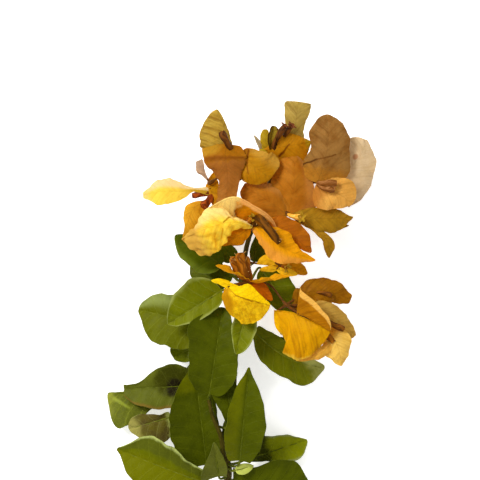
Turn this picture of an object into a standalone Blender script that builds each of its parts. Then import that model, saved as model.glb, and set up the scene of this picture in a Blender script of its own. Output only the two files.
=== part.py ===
"""A cut flowering shoot of bougainvillea, lying on its side with its cut end towards -Y and its head
towards +Y. The stem, each side twig, each bloom (its bracts and their flowers on one stalk) and each
leaf is one closed solid. The tables are in millimetres, and every mesh is in metres with +Z up."""

import math

import bmesh
import bpy
import numpy as np

MM = 0.001
GAP = 0.3  # clearance between a stalk's foot and the limb that carries it

BRACT_THICKNESS = 0.5
LEAF_THICKNESS = 0.75
LEAST_HALF_WIDTH = 0.9  # of a blade on either side of its midrib
WAVE_TURN = 9.0  # radians that a margin's wave runs through from root to tip
WAVE_SHEAR = 2.0  # radians between the waves of the midrib and of the margin

PETIOLE_RADIUS = 0.7
STALK_RADIUS = 0.65
STALK_BEND = 0.4  # how far a stalk keeps its first direction, as a share of its length
RECEPTACLE_RADII = (1.7, 1.0)  # where a stalk swells to carry the bracts, and its end
RECEPTACLE_LENGTH = 1.5
FOOT_RADII = (1.2, 1.0)  # the short stalk of a bract that starts off the bloom's centre
FOOT_START = 1.7  # the distance from the centre past which a bract has one

# A flower is a slim tube. Its radius at points spread along it, as a share of the radius that its
# "radii" give there, and how far past its end an open one spreads, and to how many times its mouth.
FLOWER_SWELL = (0.7, 0.95, 0.9, 0.9)
MOUTH_LENGTH = 0.8
MOUTH_SPREAD = 1.7

STEM_SIDES = 8
TWIG_SIDES = 6
FLOWER_SIDES = 5
BLADE_ROWS = 6  # from root to tip, one at each station
NARROW_BLADE = 16  # a blade narrower than this has only the next number of columns
NARROW_COLUMNS = 2
PETIOLE_STEPS = 2
STALK_STEPS = 3
LIMB_STEPS = 2  # between two points of a limb's axis
RIB_STEPS = 40  # along a midrib, to find its stations
RIB_EASE = 0.02  # a midrib's direction is taken over this share of its length to either side

RING_START = (0.3, 0.2, 1.0)  # a tube's rings start square to this, which no tube runs along

ROUGHNESS = 0.6
SHARP_ANGLE = math.radians(50)  # an edge is shaded sharp past this
COLOURS = {
    "bark": (0.16, 0.12, 0.05),
    "bract_yellow": (0.88, 0.60, 0.06),
    "bract_gold": (0.76, 0.40, 0.04),
    "bract_ochre": (0.48, 0.26, 0.04),
    "bract_rust": (0.45, 0.17, 0.02),
    "bract_tan": (0.50, 0.34, 0.16),
    "leaf_light": (0.24, 0.28, 0.06),
    "leaf_green": (0.12, 0.16, 0.01),
    "leaf_dark": (0.06, 0.09, 0.01),
}

# A blade runs along its midrib from its root to its tip, and its right is level unless "turn", in degrees,
# leans its upper side that way. fold and curl: degrees that each half rises at the midrib, and gains from
# there to its margin. ruffle: height of its margin's waves.
# A leaf's midrib is its chord, with the slopes "lift" at root and tip. width: left and right of the
# midrib. base and point: how slowly it widens from the root and narrows to the tip.
# A bract's midrib runs through the points "rib", and left and right are its half widths at its stations.
LEAF = dict(limb="main_stem", colour="leaf_green", turn=0, lift=(0.35, -0.35), fold=(10, 10),
            curl=(15, 15), base=0.5, point=0.8, ruffle=1.2, columns=4)
BRACT = dict(turn=0, fold=(-8, -8), curl=(-18, -18), ruffle=0.9, columns=4)
BRACT_OUTLINE = (0.1, 0.42, 0.8, 1, 0.82, 0.42, 0)  # shares of the half width "width" at the stations

# Each limb: the points that its axis runs through, and its radius at the first and the last of them.
LIMBS = {
    "main_stem": dict(
        axis=[(-9, -131, 3.1), (-8, -117, 6), (-9, -101, 11), (-5, -65, 19), (-3, -33, 26), (0, 0, 33),
              (4, 33, 39), (13, 62, 41), (21, 80, 40)],
        radii=(2.6, 1.3)),
    "side_shoot": dict(axis=[(-11, -104, 15), (-12.5, -91, 18), (-18, -77, 23), (-20.5, -66, 26)],
                       radii=(1.9, 1.1)),
    "twig_left": dict(axis=[(14.5, 70, 43), (9, 80, 45), (3, 87, 46)], radii=(1.2, 0.9)),
    "twig_right": dict(axis=[(17, 65, 39), (28, 69, 38), (40, 73, 40)], radii=(1.2, 0.9)),
    "twig_low": dict(axis=[(2.5, 9, 37), (9, 12, 42), (16, 11, 47)], radii=(1.1, 0.9)),
}

# Each bloom: the limb that carries it, how far along, its centre, its bracts and its flowers. A flower
# leaves the centre along "path", its radius goes from the first of "radii" to the second, and an open one
# has a "mouth" of that radius.
BLOOMS = {
    "bloom_hood": dict(limb="main_stem", at=0.80, centre=(8, 49, 60), colour="bract_gold", bracts=[
        dict(rib=[(8, 47.5, 65), (-3, 50.5, 73), (-15, 48.5, 76), (-27, 44, 75), (-37.5, 39.5, 70)],
             left=(1, 2.5, 5.5, 14.5, 16.5, 12.8, 0), right=(0.5, 1.5, 4, 13, 5, 1.5, 0), fold=(-12, -12),
             curl=(-32, -32)),
        dict(rib=[(7, 47.5, 63), (1, 43, 65.5), (-6, 39, 66), (-14, 35.5, 66)],
             left=(1, 2, 4.5, 5.3, 2.8, 1.2, 0), right=(1, 3, 5, 5, 4, 2, 0)),
        dict(rib=[(24, 45, 62), (19, 53.5, 67), (9, 60.2, 71), (-4, 66, 73), (-20, 59.5, 70)],
             left=(2, 6, 10, 12, 13, 8, 1), right=(0.3, 0.6, 0.8, 0.8, 0.8, 0.5, 0), fold=(-35, -10),
             curl=(-25, -10)),
        dict(rib=[(9, 48.5, 62), (19, 41, 69), (32, 32, 70), (48.5, 26, 66)],
             left=(2, 4, 7, 9.5, 3.5, 1.2, 0), right=(2, 4.5, 7.5, 11, 6, 2.2, 0)),
        dict(rib=[(12, 46, 58), (26, 46, 62), (37, 39, 62), (46, 31, 60)],
             left=(1, 3, 5, 9, 8, 2.5, 0), right=(1, 3, 5, 5, 4, 2, 0)),
    ], flowers=[
        dict(path=[(8, 49, 60), (12.5, 52, 68.5), (18.5, 46, 73.5), (25.5, 37, 74)], radii=(1.7, 2.6)),
        dict(path=[(8, 49, 60), (6, 51, 65), (8, 53, 68)], radii=(1.6, 1.9), mouth=1.3),
    ]),
    "bloom_middle": dict(limb="main_stem", at=0.93, centre=(31, 56, 46), colour="bract_rust", bracts=[
        dict(rib=[(30, 56, 46), (19, 64, 49), (9, 70, 49), (2, 74, 47)],
             left=(1, 5, 8, 10, 9, 7, 4), right=(1, 5, 12, 11, 7, 4, 2)),
        dict(rib=[(31, 56, 46), (34, 68, 49), (35.5, 81, 50), (35, 93.3, 48)],
             left=(1, 5, 12, 15, 14, 13, 10), right=(4, 12, 17, 13.4, 9.5, 5.5, 2)),
        dict(rib=[(35, 55, 46), (50, 53, 48), (62, 53, 47), (73.5, 54, 44)],
             left=(1, 3, 5, 6.5, 5.5, 1.2, 0), right=(1, 2, 5, 8.5, 8.5, 3, 0)),
        dict(rib=[(36, 52, 43), (48, 48, 43), (60, 46.5, 42), (71, 48.5, 40)],
             left=(0.5, 1, 2, 2.5, 2, 1, 0), right=(0.5, 1, 2, 2, 1.5, 0.8, 0)),
        dict(rib=[(42, 50, 44), (50, 44.5, 46), (57, 38, 46), (58, 27.3, 43)],
             left=(0.6, 1, 1.6, 2.4, 4, 1.8, 0), right=(0.6, 1, 1.4, 2, 3.4, 1.6, 0)),
    ], flowers=[
        dict(path=[(31, 56, 46), (33, 55.5, 51), (38, 54.5, 53.5)], radii=(1.4, 1.7),
             mouth=1.5),
    ]),
    "bloom_left": dict(limb="twig_left", at=0.7, centre=(-18, 69, 50), colour="bract_yellow", bracts=[
        dict(rib=[(-20, 70, 51), (-30, 71.4, 54), (-38, 70.7, 56), (-50, 70.5, 57), (-62.8, 68.2, 54)],
             left=(2, 2, 1.3, 7, 8.7, 3.8, 1.5), right=(2, 2.8, 1.6, 7.2, 8, 3, 1.2), fold=(8, -8),
             curl=(20, -30)),
        dict(rib=[(-20, 63.5, 53), (-29, 60.5, 54), (-33, 53, 54), (-36.8, 40, 52)],
             left=(1, 3, 8, 10, 8, 3, 0), right=(1, 1.5, 3, 5, 1.2, 0.8, 0)),
        dict(rib=[(-17, 68, 49), (-17, 76, 49), (-15.5, 84, 46)],
             left=(2, 4, 5, 4.5, 3, 1.5, 0), right=(1, 2, 3, 3, 2, 1, 0)),
        dict(rib=[(-20, 74, 50), (-17.5, 67, 53), (-15, 59, 54)],
             left=(1, 4, 6, 6, 4, 2, 0), right=(0.5, 1, 1.5, 2.5, 2, 1, 0)),
    ], flowers=[
        dict(path=[(-18, 69, 50), (-24, 68.5, 51), (-31, 67.6, 52)], radii=(1.2, 2.1)),
        dict(path=[(-18, 69, 50), (-20, 64.5, 54), (-24, 60.5, 57)], radii=(1.8, 3.0)),
    ]),
    "bloom_crest": dict(limb="twig_left", at=0.9, centre=(-5, 95, 50), colour="bract_ochre", bracts=[
        dict(rib=[(-6, 92, 49), (-8, 104, 54), (-11, 114, 57), (-15, 123.3, 58)],
             left=(3, 10, 18, 17.5, 15, 8, 0), right=(1, 2, 2.6, 2.2, 1.6, 1, 0), fold=(0, -30)),
        dict(rib=[(-9, 101, 55), (-9.5, 92, 58), (-8, 80, 57), (-8, 68, 58), (-9, 56, 56)],
             left=(8, 12, 13.5, 8, 6, 6, 3), right=(14, 15, 13, 7, 6.5, 6, 3), fold=(-4, -4),
             curl=(-12, -35)),
        dict(rib=[(1, 96.5, 52), (10, 86, 56.5), (20, 79, 54)],
             left=(3, 5.5, 9.5, 12.5, 14.7, 13.5, 9), right=(5, 7, 9, 11.5, 9.8, 5, 0)),
    ], flowers=[
        dict(path=[(-5, 95, 50), (-7, 99.5, 56), (-9.5, 104, 58.5), (-12, 109, 58.5)], radii=(1.8, 2.6)),
    ]),
    "bloom_crown": dict(limb="main_stem", at=1.0, centre=(27, 93, 42), colour="bract_ochre", bracts=[
        dict(rib=[(33, 96, 43), (35.5, 108, 47), (36.5, 118, 49), (38, 128.8, 48)],
             left=(2, 3.5, 6, 6.5, 8, 9, 7.5), right=(2, 4, 6.2, 6.2, 7.7, 8.3, 8)),
        dict(rib=[(16, 97.5, 45.5), (26, 99.3, 49.5), (36, 100.7, 50), (46, 102.7, 48)],
             left=(1, 1.5, 4, 8, 6, 2, 0), right=(2, 4, 7.5, 8.5, 12, 5.5, 0), fold=(-4, -26),
             curl=(-6, -6)),
        dict(rib=[(22, 97, 45), (20.5, 103, 48.5), (22, 113, 51)],
             left=(0.6, 1.4, 2.2, 2.6, 2.8, 2.2, 1), right=(0.6, 1.6, 2.8, 3.5, 3.6, 2.6, 1.5),
             fold=(40, 40), curl=(20, 20)),
        dict(rib=[(19, 95, 43), (16.7, 103, 47), (16, 111, 46)],
             left=(1, 2, 3, 3.4, 3.1, 2, 1), right=(1, 2, 3.2, 3.4, 3, 2.4, 1)),
        dict(rib=[(16, 95, 41), (13, 101, 42), (9, 107.3, 41)],
             left=(0.6, 1, 1.4, 1.5, 1, 0.4, 0), right=(0.8, 1.5, 2, 2, 1.5, 0.6, 0)),
        dict(rib=[(24, 93, 43), (17, 95.5, 46), (12.5, 98, 44)],
             left=(0.6, 1.5, 2.5, 2.5, 1.5, 0.8, 0), right=(0.6, 1.5, 3.5, 4, 2.5, 1, 0)),
    ], flowers=[
        dict(path=[(27, 93, 42), (27, 101, 43.5), (30, 107.5, 49), (34, 113.5, 53)], radii=(1.2, 2.4)),
        dict(path=[(27, 93, 42), (22, 99.5, 48.5), (25, 107, 53), (29.5, 113.5, 55)], radii=(1.2, 2.3)),
    ]),
    "bloom_right": dict(limb="twig_right", at=1.0, centre=(50, 77, 46), colour="bract_tan", bracts=[
        dict(rib=[(50, 76, 50.5), (54, 88, 55.5), (57, 104, 55.5), (56, 120.3, 53)],
             left=(6, 10, 13, 10.3, 12.5, 6.5, 0), right=(5, 13, 17.5, 15.5, 12.5, 6.5, 0),
             fold=(-2, -8), curl=(-8, -18)),
        dict(rib=[(60, 77, 44), (68, 82, 45), (77, 92, 45), (80, 97.5, 44.5), (82.3, 104.3, 43)],
             left=(3, 5, 8, 10, 11, 11, 6), right=(20, 20, 19.5, 16, 10.3, 3.2, 0.5)),
        dict(rib=[(49, 74.5, 50), (56, 71.5, 53), (65, 68, 53.5), (73, 62.5, 51)],
             left=(2, 4.5, 8, 10.5, 11.5, 6, 0), right=(4, 9.5, 13, 11.5, 9, 4.5, 0), fold=(-3, -3),
             curl=(-12, -12)),
    ], flowers=[
        dict(path=[(50, 77, 46), (52, 75.5, 55), (56, 75.7, 57.5), (62.5, 75.5, 57.5)], radii=(1.2, 2.4)),
        dict(path=[(50, 77, 46), (52, 73.5, 55), (56, 72, 57.5), (61, 71.5, 57)], radii=(1.0, 2.2)),
    ]),
    "bloom_cup": dict(limb="twig_low", at=0.6, centre=(7, 12, 57), colour="bract_yellow", bracts=[
        dict(rib=[(7, 12, 58), (-4, 17, 63), (-15.5, 22.5, 66)],
             left=(1, 3, 5.5, 6, 5, 2.5, 0), right=(1, 3, 5.5, 6, 5, 2.5, 0), turn=80, fold=(8, 8),
             curl=(20, 20)),
        dict(rib=[(7, 12, 58), (15, 12.5, 61), (32, 15.5, 62)],
             left=(1, 3, 5, 5.5, 4, 2, 0), right=(1, 3, 5, 5.5, 4, 2, 0), turn=-80, fold=(8, 8),
             curl=(20, 20)),
        dict(rib=[(-8.5, 10, 65), (-3, 4, 68), (7, 0.5, 68), (19.5, -3, 65)],
             left=(2, 4.5, 6.8, 9, 5, 2, 0), right=(1.5, 5, 11, 15.5, 15.5, 10, 2), fold=(-8, -18),
             curl=(-12, -22)),
        dict(rib=[(-6, 9.5, 64.5), (-12, 12, 66), (-18.5, 13, 65)],
             left=(1, 2, 2.4, 2.2, 1.6, 0.8, 0), right=(1, 2, 2.4, 2.2, 1.6, 0.8, 0)),
        dict(rib=[(2, 10, 56), (12, 8, 56), (21, 0, 54)],
             left=(1, 3, 4, 4.5, 3.5, 1.5, 0), right=(1, 2, 3, 4, 4, 2, 0)),
    ], flowers=[
        dict(path=[(7, 12, 57), (0, 17, 61), (-3, 23, 62), (-3.5, 28.5, 62)], radii=(2.2, 3.2)),
        dict(path=[(7, 12, 57), (3, 17.5, 64), (1, 24.5, 65), (0, 30.5, 64)], radii=(2.4, 3.3)),
        dict(path=[(7, 12, 57), (5.5, 17, 60), (4.2, 23, 61), (3.5, 28, 60)], radii=(2.2, 3.0)),
    ]),
    "bloom_young": dict(limb="main_stem", at=0.72, centre=(27, 22, 47), colour="bract_gold", bracts=[
        dict(rib=[(24, 24, 48), (17, 26, 50), (11, 23.5, 51)],
             left=(0.6, 1.5, 3, 3.4, 2.4, 1, 0), right=(0.6, 2.2, 4, 3.6, 2.4, 1, 0)),
        dict(rib=[(25, 20, 47.5), (19, 20.3, 50), (12.5, 19.6, 49)],
             left=(0.4, 1, 1.8, 1.9, 1.5, 0.7, 0), right=(0.4, 1, 1.8, 1.9, 1.5, 0.7, 0)),
        dict(rib=[(24, 20, 48), (30, 18.3, 51), (37.5, 16.6, 50)],
             left=(0.6, 1.4, 2.4, 2.8, 2.2, 1, 0), right=(0.6, 1.4, 2.4, 2.6, 2, 1, 0)),
        dict(rib=[(22, 24, 47), (33, 22, 48.5), (43.8, 17, 46)],
             left=(2, 3.5, 4.5, 5, 4.4, 2, 0), right=(1.5, 2.5, 3, 3.8, 3.8, 2, 0)),
    ], flowers=[
        dict(path=[(27, 22, 47), (28.5, 21.5, 50), (30, 21, 51.5)], radii=(1.0, 1.3),
             mouth=1.3),
    ]),
    "bloom_low": dict(limb="twig_low", at=1.0, centre=(30, -3, 54), colour="bract_gold", bracts=[
        dict(rib=[(22, -7, 56), (33, -8, 61), (41, -11.5, 64), (50, -16, 66), (58, -20, 65)],
             left=(0.5, 0.6, 0.6, 0.6, 0.6, 0.5, 0), right=(6, 13.5, 21, 26.5, 25.5, 18, 11), fold=(10, 0),
             curl=(10, -30)),
        dict(rib=[(60, -26, 58), (53, -33.5, 58.5), (45, -36, 58), (36, -38.7, 56.5)],
             left=(1, 2, 3, 3, 2.5, 1.4, 0), right=(1, 2, 3.4, 3.4, 3, 1.6, 0)),
        dict(rib=[(36.5, -8, 63), (42, -9.5, 65), (49, -14, 66.5), (57.5, -19.5, 66)],
             left=(17, 15.5, 11.5, 9, 7.5, 4, 1), right=(0.3, 0.4, 0.4, 0.4, 0.4, 0.3, 0), fold=(30, 0),
             curl=(-25, 0)),
        dict(rib=[(38, 3, 50), (48, 6, 52), (60, 5, 52), (72, 0.5, 49)],
             left=(2, 5, 8, 8.3, 6.6, 3.6, 2.4), right=(1.5, 2.5, 5, 6, 6.8, 4.3, 3)),
        dict(rib=[(44, -3, 53), (56, -8, 54), (66, -15, 53), (75, -23, 49)],
             left=(1.5, 3.5, 6.3, 6.8, 5, 2.2, 0), right=(1, 2.5, 4, 5, 5, 4.5, 2)),
        dict(rib=[(52, -16, 55), (60, -24, 58.5), (64, -33, 57.5), (65.7, -42.5, 53)],
             left=(1, 3, 6.5, 10.5, 6, 2, 0), right=(1, 3, 7, 10, 9.5, 3.5, 0)),
        dict(rib=[(36, -6, 52), (37, 1, 54), (37, 8, 54)],
             left=(0.5, 1.5, 2.5, 3.2, 2.8, 1.5, 0), right=(0.5, 1.5, 2.5, 3, 3, 2, 0)),
    ], flowers=[
        dict(path=[(42, -3.5, 53.5), (52, -10, 57.5), (60, -15.5, 60), (67, -18.5, 58)], radii=(1.2, 2.2)),
        dict(path=[(44, -10, 54), (52, -18, 57), (60.5, -27, 58)], radii=(1.2, 2.0)),
        dict(path=[(38, 3, 50), (48, 5, 50.5), (55, 4.5, 53.5), (59.5, 3.3, 54)], radii=(0.8, 1.7)),
    ]),
    "bloom_withered": dict(limb="twig_left", at=1.0, centre=(-19.5, 76, 52), colour="bract_tan", bracts=[
        dict(rib=[(-20.5, 77.5, 52), (-24, 83, 54), (-27, 90.4, 54)],
             left=(0.4, 0.8, 1.5, 3.6, 3.3, 2.2, 1.4), right=(0.4, 0.6, 1, 1.7, 2.6, 2.7, 2)),
    ]),
    "bloom_under_middle": dict(limb="main_stem", at=0.9, centre=(24, 72, 22), colour="bract_rust", bracts=[
        dict(rib=[(24, 72, 22), (14, 81, 16), (5, 89, 4)], width=(12, 12), columns=2),
        dict(rib=[(24, 72, 22), (37, 80, 16), (48, 86, 2)], width=(12, 12), columns=2),
        dict(rib=[(24, 72, 22), (25, 61, 16), (26, 50, 1)], width=(12, 12), columns=2),
    ], flowers=[dict(path=[(24, 72, 22), (26, 64, 22), (27, 57, 19)], radii=(1.0, 1.8))]),
    "bloom_under_left": dict(limb="main_stem", at=0.8, centre=(-12, 52, 26), colour="bract_gold", bracts=[
        dict(rib=[(-12, 52, 26), (-22, 47, 20), (-32, 42, 8)], width=(11, 12), columns=2),
        dict(rib=[(-12, 52, 26), (-13, 59, 18), (-14, 64, 2)], width=(11, 11), columns=2),
        dict(rib=[(-12, 52, 26), (-5, 44, 23), (2, 36, 14)], width=(9, 9), columns=2),
    ], flowers=[dict(path=[(-12, 52, 26), (-16, 57, 23), (-18, 61, 19)], radii=(1.0, 1.8))]),
    "bloom_under_right": dict(limb="twig_right", at=0.7, centre=(60, 82, 24), colour="bract_ochre", bracts=[
        dict(rib=[(60, 82, 24), (71, 88, 18), (80, 94, 6)], width=(12, 12), columns=2),
        dict(rib=[(60, 82, 24), (58, 98, 16), (55, 112, 2)], width=(12, 12), columns=2),
        dict(rib=[(60, 82, 24), (66, 72, 17), (70, 62, 2)], width=(11, 11), columns=2),
    ], flowers=[dict(path=[(60, 82, 24), (60, 90, 23), (59, 97, 20)], radii=(1.0, 1.8))]),
    "bloom_under_low": dict(limb="main_stem", at=0.63, centre=(40, -8, 26), colour="bract_gold", bracts=[
        dict(rib=[(40, -8, 26), (54, -16, 18), (66, -24, 2)], width=(12, 12), columns=2),
        dict(rib=[(40, -8, 26), (36, -20, 20), (34, -32, 6)], width=(10, 10), columns=2),
        dict(rib=[(40, -8, 26), (52, 0, 18), (62, 6, 4)], width=(9, 9), columns=2),
    ], flowers=[dict(path=[(40, -8, 26), (47, -10, 26), (53, -13, 23)], radii=(1.0, 1.8))]),
}

# Each leaf: the limb that carries it, how far along, its blade's root and tip, and its shape.
LEAVES = {
    "leaf_01": dict(at=0.68, root=(-12, 23, 43), tip=(-42, 42, 47), width=(15, 9)),
    "leaf_02": dict(at=0.617, root=(-12, 6, 42), tip=(-47, -16, 40), width=(9, 17)),
    "leaf_03": dict(colour="leaf_light", at=0.52, root=(-15, -19, 26), tip=(-67, -7, 16), width=(19, 15),
                    point=0.45),
    "leaf_04": dict(at=0.50, root=(-15, -23, 20), tip=(-44, -39, 12), width=(8, 7), point=0.6),
    "leaf_05": dict(colour="leaf_dark", limb="side_shoot", at=1.0, root=(-20, -62, 31), tip=(-11, -5, 40),
                    width=(17, 16), base=0.4, point=0.6),
    "leaf_06": dict(at=0.60, root=(5, -3, 46), tip=(-2.5, -35, 48), width=(9, 6)),
    "leaf_07": dict(at=0.58, root=(9, -20, 34), tip=(56, -45, 12), width=(7, 18), sway=0.1),
    "leaf_08": dict(colour="leaf_dark", at=0.37, root=(-27, -57, 12), tip=(-77, -60, 9), width=(12, 13),
                    point=1.0),
    "leaf_09": dict(at=0.305, root=(-52, -66, 4), tip=(-88, -63, 2), width=(21, 4), base=0.9, point=0.5),
    "leaf_10": dict(colour="leaf_light", at=0.27, root=(-46, -74, 16), tip=(-71, -92, 14), width=(9, 9)),
    "leaf_11": dict(at=0.06, root=(-22, -122, 16), tip=(-81, -98.5, 24), width=(15, 19)),
    "leaf_12": dict(colour="leaf_dark", at=0.16, root=(-22, -106, 10), tip=(-30, -44, 18), width=(21, 11),
                    lift=(0.1, -0.2)),
    "leaf_13": dict(at=0.195, root=(1, -101, 26), tip=(6, -44, 40), width=(11, 15), point=0.7),
    "leaf_14": dict(colour="leaf_dark", at=0.28, root=(-4, -83, 26), tip=(-11, -46, 24), width=(11, 8),
                    base=0.9, point=0.6),
    "leaf_15": dict(at=0.19, root=(6, -106, 9), tip=(44.5, -94, 2), width=(5, 12)),
    "leaf_16": dict(at=0.08, root=(-2, -120, 11), tip=(46, -124, 9), width=(15, 12)),
    "leaf_17": dict(at=0.125, root=(-14, -112, 18.5), tip=(-17, -94, 26), width=(8, 8)),
    "leaf_18": dict(at=0.66, root=(14, 20, 34), tip=(34, -9, 34), width=(12, 9), point=0.6),
    "leaf_19": dict(colour="leaf_dark", at=0.71, root=(9.5, 25, 34), tip=(12, 44, 44), width=(4, 7)),
    "leaf_20": dict(colour="leaf_dark", at=0.71, root=(-4, 26, 39), tip=(-14, 37, 41), width=(6, 6)),
    "leaf_21": dict(colour="leaf_dark", at=0.67, root=(-5, 15, 34), tip=(-20, 16, 34), width=(5, 6)),
    "leaf_22": dict(colour="leaf_dark", at=0.64, root=(-10, 8, 24), tip=(-33, 22, 1),
                    width=(8, 8), columns=2),
    "leaf_23": dict(colour="leaf_dark", at=0.55, root=(-12, -14, 16), tip=(-52, -12, 1),
                    width=(12, 12), columns=2),
    "leaf_24": dict(colour="leaf_dark", at=0.55, root=(14, -28, 18), tip=(44, -46, 1),
                    width=(10, 9), columns=2),
    "leaf_25": dict(colour="leaf_dark", at=0.46, root=(-13, -38, 10), tip=(-36, -54, 1),
                    width=(9, 9), columns=2),
    "leaf_26": dict(colour="leaf_dark", at=0.33, root=(2, -72, 14), tip=(12, -98, 1),
                    width=(10, 9), columns=2),
    "leaf_27": dict(colour="leaf_light", at=0.17, root=(-3, -113, 19), tip=(8.5, -110, 19), width=(3, 3),
                    ruffle=0),
}


def unit(vectors):
    return vectors / np.linalg.norm(vectors, axis=-1, keepdims=True)


def smooth_path(points, count):
    """Points spread evenly in parameter along a Catmull-Rom curve through the given ones."""
    points = np.array(points, float)
    padded = np.vstack([2 * points[0] - points[1], points, 2 * points[-1] - points[-2]])
    where = np.linspace(0, len(points) - 1, count)
    span = np.minimum(where.astype(int), len(points) - 2)
    t = (where - span)[:, None]
    p0, p1, p2, p3 = (padded[span + k] for k in range(4))
    return p1 + 0.5 * t * (p2 - p0 + t * (2 * p0 - 5 * p1 + 4 * p2 - p3 + t * (3 * (p1 - p2) + p3 - p0)))


def tangents(path):
    return unit(np.gradient(path, axis=0))


def grid_faces(rows, columns, wrap):
    """Quads between neighbouring rows of a grid of points, closing each row on itself if wrap is set."""
    faces = []
    for i in range(rows - 1):
        for j in range(columns if wrap else columns - 1):
            k = (j + 1) % columns
            faces.append((i * columns + j, i * columns + k, (i + 1) * columns + k, (i + 1) * columns + j))
    return faces


def tube(path, radii, sides, leaving=None):
    """Vertices and faces of a closed round tube along the path."""
    path = np.array(path, float)
    along = tangents(path)
    if leaving is not None:
        along[0] = leaving
    across = unit(np.cross(along, RING_START))
    other = np.cross(along, across)
    angles = 2 * math.pi * np.arange(sides) / sides
    ring = across[:, None] * np.cos(angles)[None, :, None] + other[:, None] * np.sin(angles)[None, :, None]
    points = path[:, None] + ring * np.array(radii, float)[:, None, None]
    faces = grid_faces(len(path), sides, wrap=True)
    faces.append(tuple(reversed(range(sides))))
    faces.append(tuple(range((len(path) - 1) * sides, len(path) * sides)))
    return points.reshape(-1, 3), faces


def stations():
    """Shares of a blade's length from root to tip, closer together towards its ends."""
    return 0.5 - 0.5 * np.cos(math.pi * np.arange(BLADE_ROWS + 1) / BLADE_ROWS)


def leaf_outline(width, base, point):
    """A leaf's half widths at its stations, from 0 at the root to 0 at the tip."""
    widest = base / (base + point)
    u = stations()
    return width * (u / widest) ** base * ((1 - u) / (1 - widest)) ** point


def leaf_rib(leaf):
    """A leaf's midrib, a cubic above its chord."""
    root = np.array(leaf["root"], float)
    chord = np.array(leaf["tip"], float) - root
    right = unit(np.cross(chord, (0.0, 0.0, 1.0)))
    up = unit(np.cross(right, chord))
    length = np.linalg.norm(chord)
    u = np.linspace(0, 1, RIB_STEPS + 1)[:, None]
    start, end = leaf["lift"]
    rise = start * (u - 2 * u**2 + u**3) + end * (u**3 - u**2)
    bow = leaf.get("sway", 0) * 4 * u * (1 - u)
    return root + chord * u + length * (up * rise + right * bow)


def points_at(path, shares):
    """The points of a path at these shares of its length."""
    steps = np.linalg.norm(np.diff(path, axis=0), axis=1)
    lengths = np.concatenate([[0], np.cumsum(steps)])
    return np.stack([np.interp(shares * lengths[-1], lengths, path[:, k]) for k in range(3)], axis=-1)


def rib_frame(path, turn):
    """A blade's midrib at its stations, and the directions to its right and out of its upper side."""
    u = stations()
    ahead = points_at(path, np.minimum(u + RIB_EASE, 1))
    behind = points_at(path, np.maximum(u - RIB_EASE, 0))
    along = unit(ahead - behind)
    level = unit(np.cross(along, (0.0, 0.0, 1.0)))
    lean = math.radians(turn)
    right = level * math.cos(lean) - np.cross(level, along) * math.sin(lean)
    return points_at(path, u), right, np.cross(right, along)


def section(v, shape):
    """Reach and rise of a blade's cross-section, an arc on each side, as shares of its half width."""
    side = (v > 0).astype(int)
    fold = np.radians(np.array(shape["fold"], float))[side]
    curl = np.radians(np.array(shape["curl"], float) + 1e-3)[side]
    span = np.abs(v)
    whole = np.sin(fold + curl) - np.sin(fold)
    reach = (np.sin(fold + curl * span) - np.sin(fold)) / whole
    rise = (np.cos(fold) - np.cos(fold + curl * span)) / whole
    return np.sign(v) * reach, rise


def blade_surface(path, left, right, shape):
    """The middle surface of a blade, as a grid of points."""
    left = np.maximum(left, LEAST_HALF_WIDTH)
    right = np.maximum(right, LEAST_HALF_WIDTH)
    narrow = left.max() + right.max() < NARROW_BLADE
    columns = NARROW_COLUMNS if narrow else shape["columns"]
    midrib, aside, face = rib_frame(path, shape["turn"])
    u = stations()[:, None]
    v = np.linspace(-1, 1, columns + 1)
    half = np.where(v < 0, left[:, None], right[:, None])
    reach, rise = section(v, shape)
    wave = np.sin(WAVE_TURN * u + WAVE_SHEAR * v) * np.sin(math.pi * u)
    rise = half * rise + shape["ruffle"] * v**2 * wave
    return midrib[:, None] + aside[:, None] * (half * reach)[..., None] + face[:, None] * rise[..., None]


def sheet(middle, thickness):
    """Vertices and faces of a closed sheet about a grid of points, as thick as given at each row."""
    down_rows = np.gradient(middle, axis=0)
    across = np.gradient(middle, axis=1)
    normal = unit(np.cross(across, down_rows))
    offset = normal * (np.broadcast_to(thickness, len(middle))[:, None, None] / 2)
    rows, columns = middle.shape[:2]
    count = rows * columns
    top = grid_faces(rows, columns, wrap=False)
    bottom = [tuple(count + k for k in reversed(face)) for face in top]
    rim = [j for j in range(columns)]
    rim += [i * columns + columns - 1 for i in range(1, rows)]
    rim += [(rows - 1) * columns + j for j in range(columns - 2, -1, -1)]
    rim += [i * columns for i in range(rows - 2, 0, -1)]
    edge = [(count + p, count + q, q, p) for p, q in zip(rim, rim[1:] + rim[:1])]
    points = np.concatenate([(middle + offset).reshape(-1, 3), (middle - offset).reshape(-1, 3)])
    return points, top + bottom + edge


def material(name, colour, roughness):
    made = bpy.data.materials.new(name)
    made.use_nodes = True
    shader = made.node_tree.nodes["Principled BSDF"]
    shader.inputs["Base Color"].default_value = (*colour, 1)
    shader.inputs["Roughness"].default_value = roughness
    return made


def add_object(name, points, faces, colour):
    mesh = bpy.data.meshes.new(name)
    mesh.from_pydata((np.asarray(points) * MM).tolist(), [], faces)
    mesh.shade_smooth()
    mesh.set_sharp_from_angle(angle=SHARP_ANGLE)
    made = bpy.data.objects.new(name, mesh)
    bpy.context.scene.collection.objects.link(made)
    mesh.materials.append(material(name, COLOURS[colour], ROUGHNESS))
    return made


def islands(shape):
    """The faces of a bmesh, grouped so that the faces of a group join edge to edge."""
    found = []
    left = set(shape.faces)
    while left:
        island = set()
        newest = {left.pop()}
        while newest:
            island |= newest
            edges = {edge for face in newest for edge in face.edges if len(edge.link_faces) == 2}
            newest = {face for edge in edges for face in edge.link_faces} - island
        left -= island
        found.append(island)
    return found


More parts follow.
